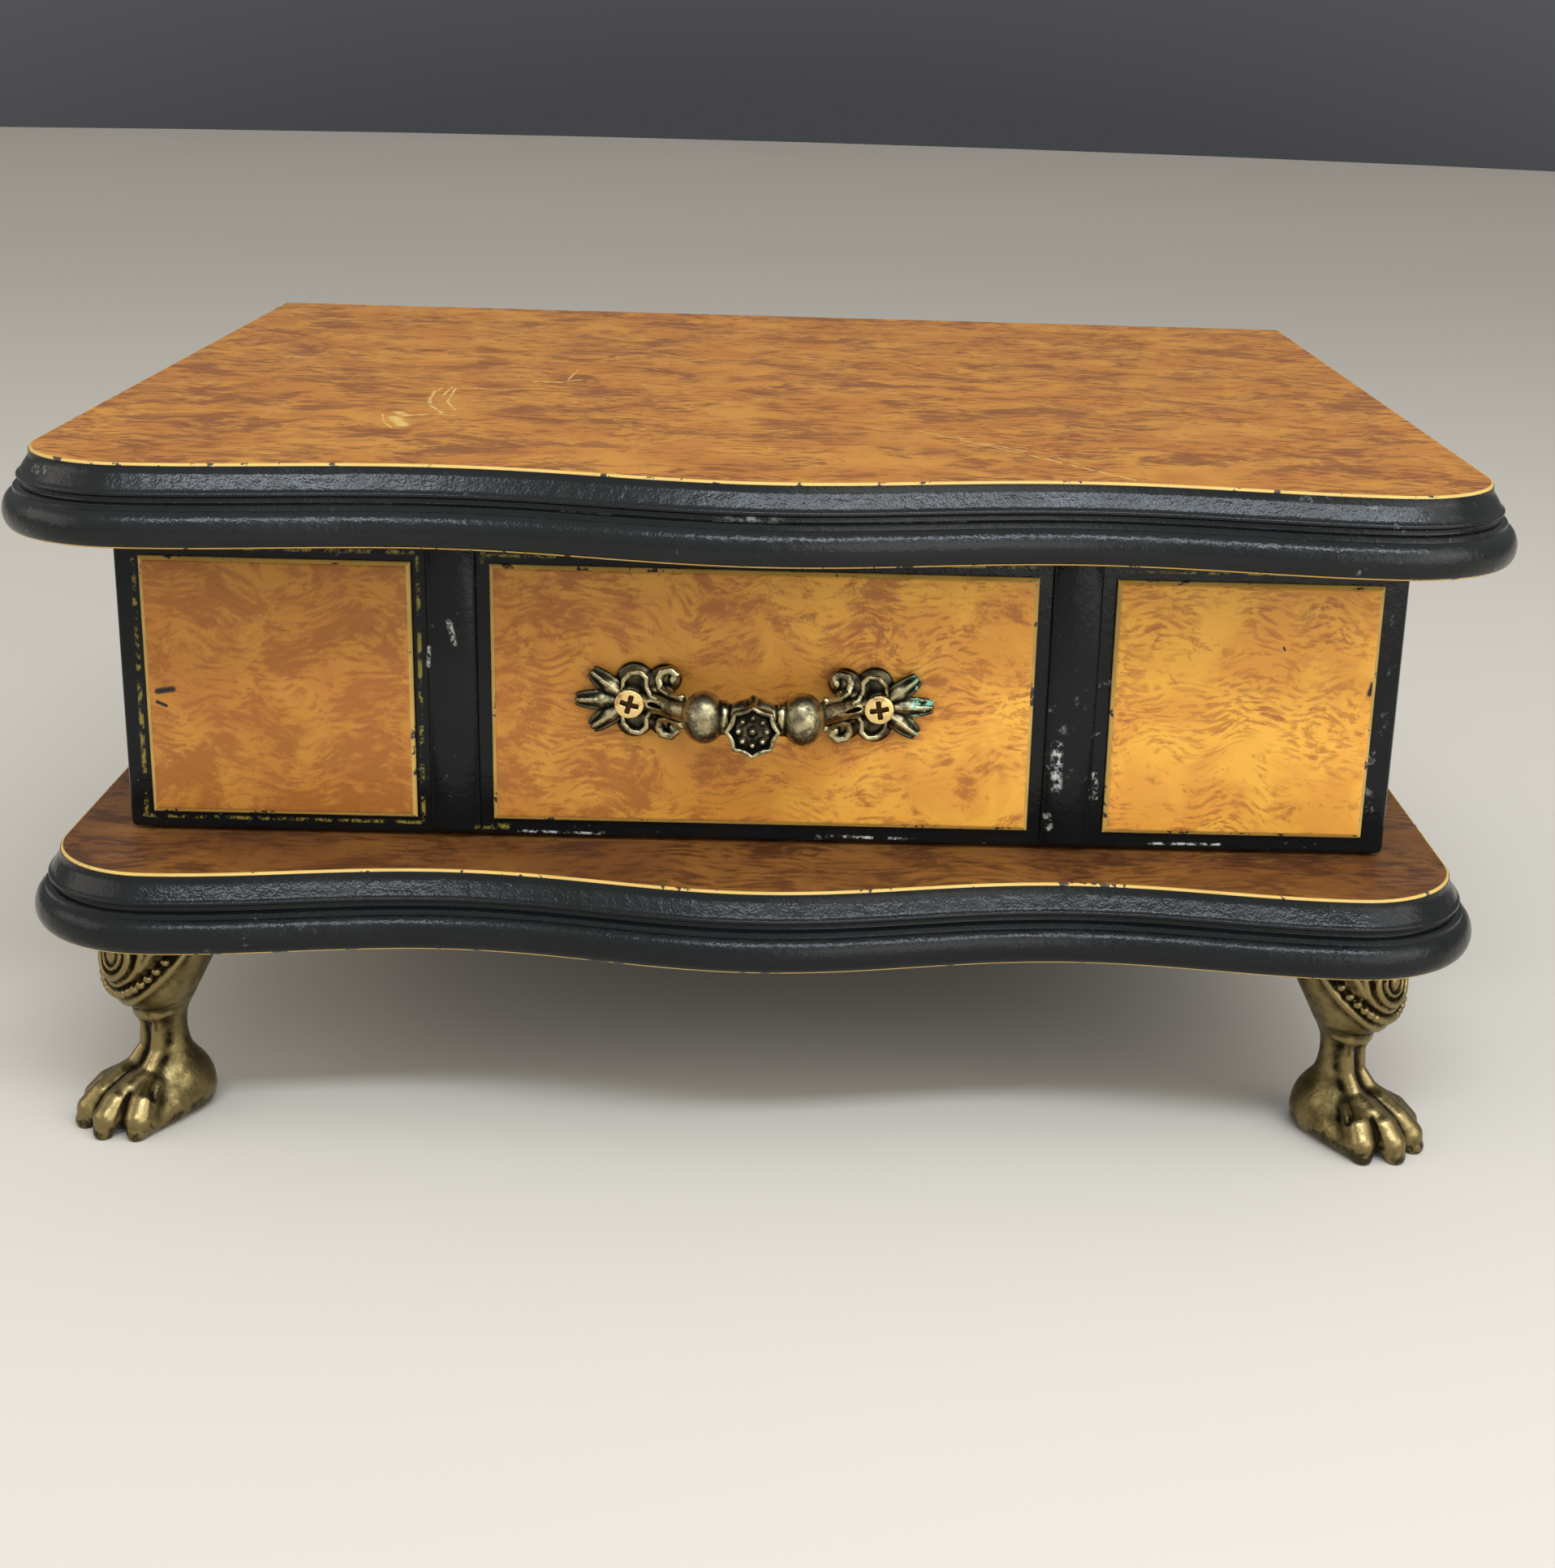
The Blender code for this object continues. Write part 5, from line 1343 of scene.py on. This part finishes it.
def make_studio():
    camera = bpy.data.cameras.new("camera")
    camera.lens, camera.sensor_width = CAMERA_LENS, SENSOR_WIDTH
    camera.shift_x, camera.shift_y = CAMERA_SHIFT
    camera.clip_start, camera.clip_end = 0.01, 50
    eye = add_object("camera", camera)
    eye.location = CAMERA_PLACE
    eye.rotation_euler = [math.radians(turn) for turn in CAMERA_TURN]
    bpy.context.scene.camera = eye
    middle = (0, 0, 0.06)
    area_light("key", (0.85, -0.62, 0.80), middle, (0.8, 0.8), 2.8, (0.98, 0.98, 1.0))
    area_light("fill", (-1.15, -0.30, 0.55), middle, (1.0, 0.6), 2.6, (1.0, 0.90, 0.78))
    area_light("top", (0.12, -0.74, 0.94), middle, (0.9, 0.14), 6.9, (0.82, 0.91, 1.0))
    area_light("front", (0.92, -1.12, 0.50), (0.05, 0, 0.02), (1.7, 0.8), 7.4, (1.0, 0.98, 0.94))
    world = bpy.data.worlds.new("world")
    bpy.context.scene.world = world
    world.use_nodes = True
    nodes, links = world.node_tree.nodes, world.node_tree.links
    slope = nodes.new("ShaderNodeVectorMath")
    slope.operation = "DOT_PRODUCT"
    links.new(nodes.new("ShaderNodeTexCoord").outputs["Generated"], slope.inputs[0])
    slope.inputs[1].default_value = SKY_SLOPE
    ramp = nodes.new("ShaderNodeValToRGB")
    for element, (place, tone) in zip(ramp.color_ramp.elements, SKY_TONES):
        element.position, element.color = place, tone
    shift = nodes.new("ShaderNodeMath")
    links.new(slope.outputs["Value"], shift.inputs[0])
    shift.inputs[1].default_value = SKY_MIDDLE
    links.new(shift.outputs[0], ramp.inputs[0])
    links.new(ramp.outputs[0], nodes["Background"].inputs["Color"])
    nodes["Background"].inputs["Strength"].default_value = SKY_STRENGTH
    floor = add_object("floor", mesh_of("floor", lathe([(3.0, -0.01), (3.0, 0.0)], 64), None))
    floor.data.materials.append(looks["floor"])
    bpy.context.scene.view_settings.view_transform = "Standard"


# ================================================================ the whole
# Yellow ground that shows through the drawer front's paint round the fields, pale scuffs on its uprights
# and painted highlights along its bottom edge, in mm. Many of the places come from the same script as
# SCRATCHES: see the open fault in report.md.
# the pale tone serves for scuffs, and for painted highlights along the drawer front's bottom edge
WIPED, SCUFF_AND_HIGHLIGHT = (0.24, 0.19, 0.035), (0.50, 0.52, 0.49)
FRONT_LINES = [((x0 * MM, 0, z0 * MM), (x1 * MM, 0, z1 * MM), width * MM, tone)
               for x0, z0, x1, z1, width, tone in (
    (-100.6, 50.8, -100.2, 93.0, 0.50, WIPED), (-101.0, 50.2, -56.0, 50.0, 0.40, WIPED),
    (-55.4, 50.5, -55.2, 94.5, 0.45, WIPED), (-100.0, 95.4, -56.0, 95.4, 0.50, WIPED),
    (-46.4, 49.6, -41.7, 49.7, 0.70, WIPED), (-45.6, 92.0, -44.8, 95.6, 0.60, WIPED),
    (-44.0, 95.2, 42.9, 95.4, 0.35, WIPED), (56.0, 95.2, 99.0, 95.4, 0.30, WIPED),
    (-50.3, 84.5, -49.4, 81.0, 0.60, SCUFF_AND_HIGHLIGHT), (-53.6, 80.0, -53.9, 77.0, 0.50, SCUFF_AND_HIGHLIGHT),
    (48.0, 66.0, 48.2, 59.0, 1.20, SCUFF_AND_HIGHLIGHT), (54.6, 61.0, 54.9, 57.0, 0.60, SCUFF_AND_HIGHLIGHT),
    # painted highlights: the three pale lines along the bottom edge, about 49 mm high; the other pale lines are
    # scuffs
    (47.0, 54.0, 47.4, 52.0, 0.80, SCUFF_AND_HIGHLIGHT), (10.0, 49.2, 26.0, 49.0, 0.35, SCUFF_AND_HIGHLIGHT),
    (-39.8, 48.9, -26.4, 48.7, 0.35, SCUFF_AND_HIGHLIGHT), (64.0, 49.2, 76.0, 49.3, 0.30, SCUFF_AND_HIGHLIGHT),
)]


# Scuffs along the ledge of the lid's moulding, and a chip out of the paint on its left corner.
LEDGE_INSET, LEDGE_RISE = mm(2.6, 7.0)
CHIP_INSET, CHIP_RISE = mm(3.9, 10)
CHIP_TURN = 0.72  # radians from the side towards the front


def on_ledge(x):
    """A point on the ledge of the lid's front moulding, at a distance across."""
    nearest = min(front_points(LEDGE_INSET), key=lambda point: abs(point.x - x))
    return (nearest.x, nearest.y, lid_low.z + LEDGE_RISE)


corner = Vector((HALF_WIDTH - CORNER_RADIUS, -(MEAN_FRONT_Y - FRONT_WAVE + FRONT_CROWN + CORNER_RADIUS)))
chip = corner + (CORNER_RADIUS - CHIP_INSET) * Vector((math.cos(CHIP_TURN), math.sin(CHIP_TURN)))
chip_z = lid_low.z + CHIP_RISE
LID_LINES = [(on_ledge(x0 * MM), on_ledge(x1 * MM), 0.55 * MM, SCUFF_AND_HIGHLIGHT)
             for x0, x1 in ((-68, -55), (-30, -22), (-8, 4), (18, 30))]
LID_LINES.append(((-chip.x, -chip.y, chip_z), (-chip.x + 2 * MM, -chip.y - 1.8 * MM, chip_z),
                  1.1 * MM, (0.16, 0.16, 0.15)))
looks = {
    "paint": paint_look("black_paint", 0.25),
    "lid_paint": paint_look("lid_paint", 0.30, 0.6, LID_LINES),
    "front_paint": paint_look("front_paint", 0.2, 1.0, FRONT_LINES, (1, 0, 1)),
    "edge": edge_look("yellow_edge", (0.74, 0.52, 0.15), (0.52, 0.32, 0.07), 0.75),
    "field_edge": edge_look("field_edge", (0.62, 0.40, 0.09), (0.30, 0.17, 0.035), 0.9),
    "field_burl": field_burl_look(),
    "top_burl": top_burl_look(),
    "base_burl": base_burl_look(),
    "wood_along": wood_look("plain_wood_along", (0.52, 0.34, 0.17), (0.40, 0.24, 0.11), (0, 0, math.pi / 2)),
    "wood_across": wood_look("plain_wood_across", (0.52, 0.34, 0.17), (0.40, 0.24, 0.11), (0, 0, 0)),
    "velvet": velvet_look("velvet", (0.22, 0.012, 0.018)),
    "brass": brass_look("brass"),
    "gold": gold_look(),
    "bronze": bronze_look(),
    "mirror": mirror_look(),
    "floor": floor_look(),
}

lining_low, lining_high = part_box("lid_lining")
mirror_low, mirror_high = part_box("mirror")
room = Vector((POCKET_ROOM,) * 3)
pocket_floor = Vector((0, 0, 1 * MM))
make_board("base_board", "base_slab", "case")
make_board("lid_board", "lid_slab", "lid", ((lining_low - room - pocket_floor, lining_high + room),
                                            (mirror_low - room - pocket_floor, mirror_high + room)))
make_veneer("base_top", "base_veneer", "case", looks["base_burl"])
make_veneer("lid_top", "lid_veneer", "lid", looks["top_burl"])
for side in ("left", "centre", "right"):
    make_field(f"field_{side}", f"front_field_{side}")
for side, _ in LEFT_RIGHT:
    make_bar(f"bar_{side}", f"front_bar_{side}")
    make_pin(f"hinge_pin_{side}")
    make_leaf(f"hinge_leaf_case_{side}")
    make_leaf(f"hinge_leaf_lid_{side}")
make_feet()
make_handle()
make_screws()
make_lining()
make_mirror()
make_soft_pieces()
for look, nodes in KEPT:
    for node in nodes:
        dress(node, look)
make_studio()
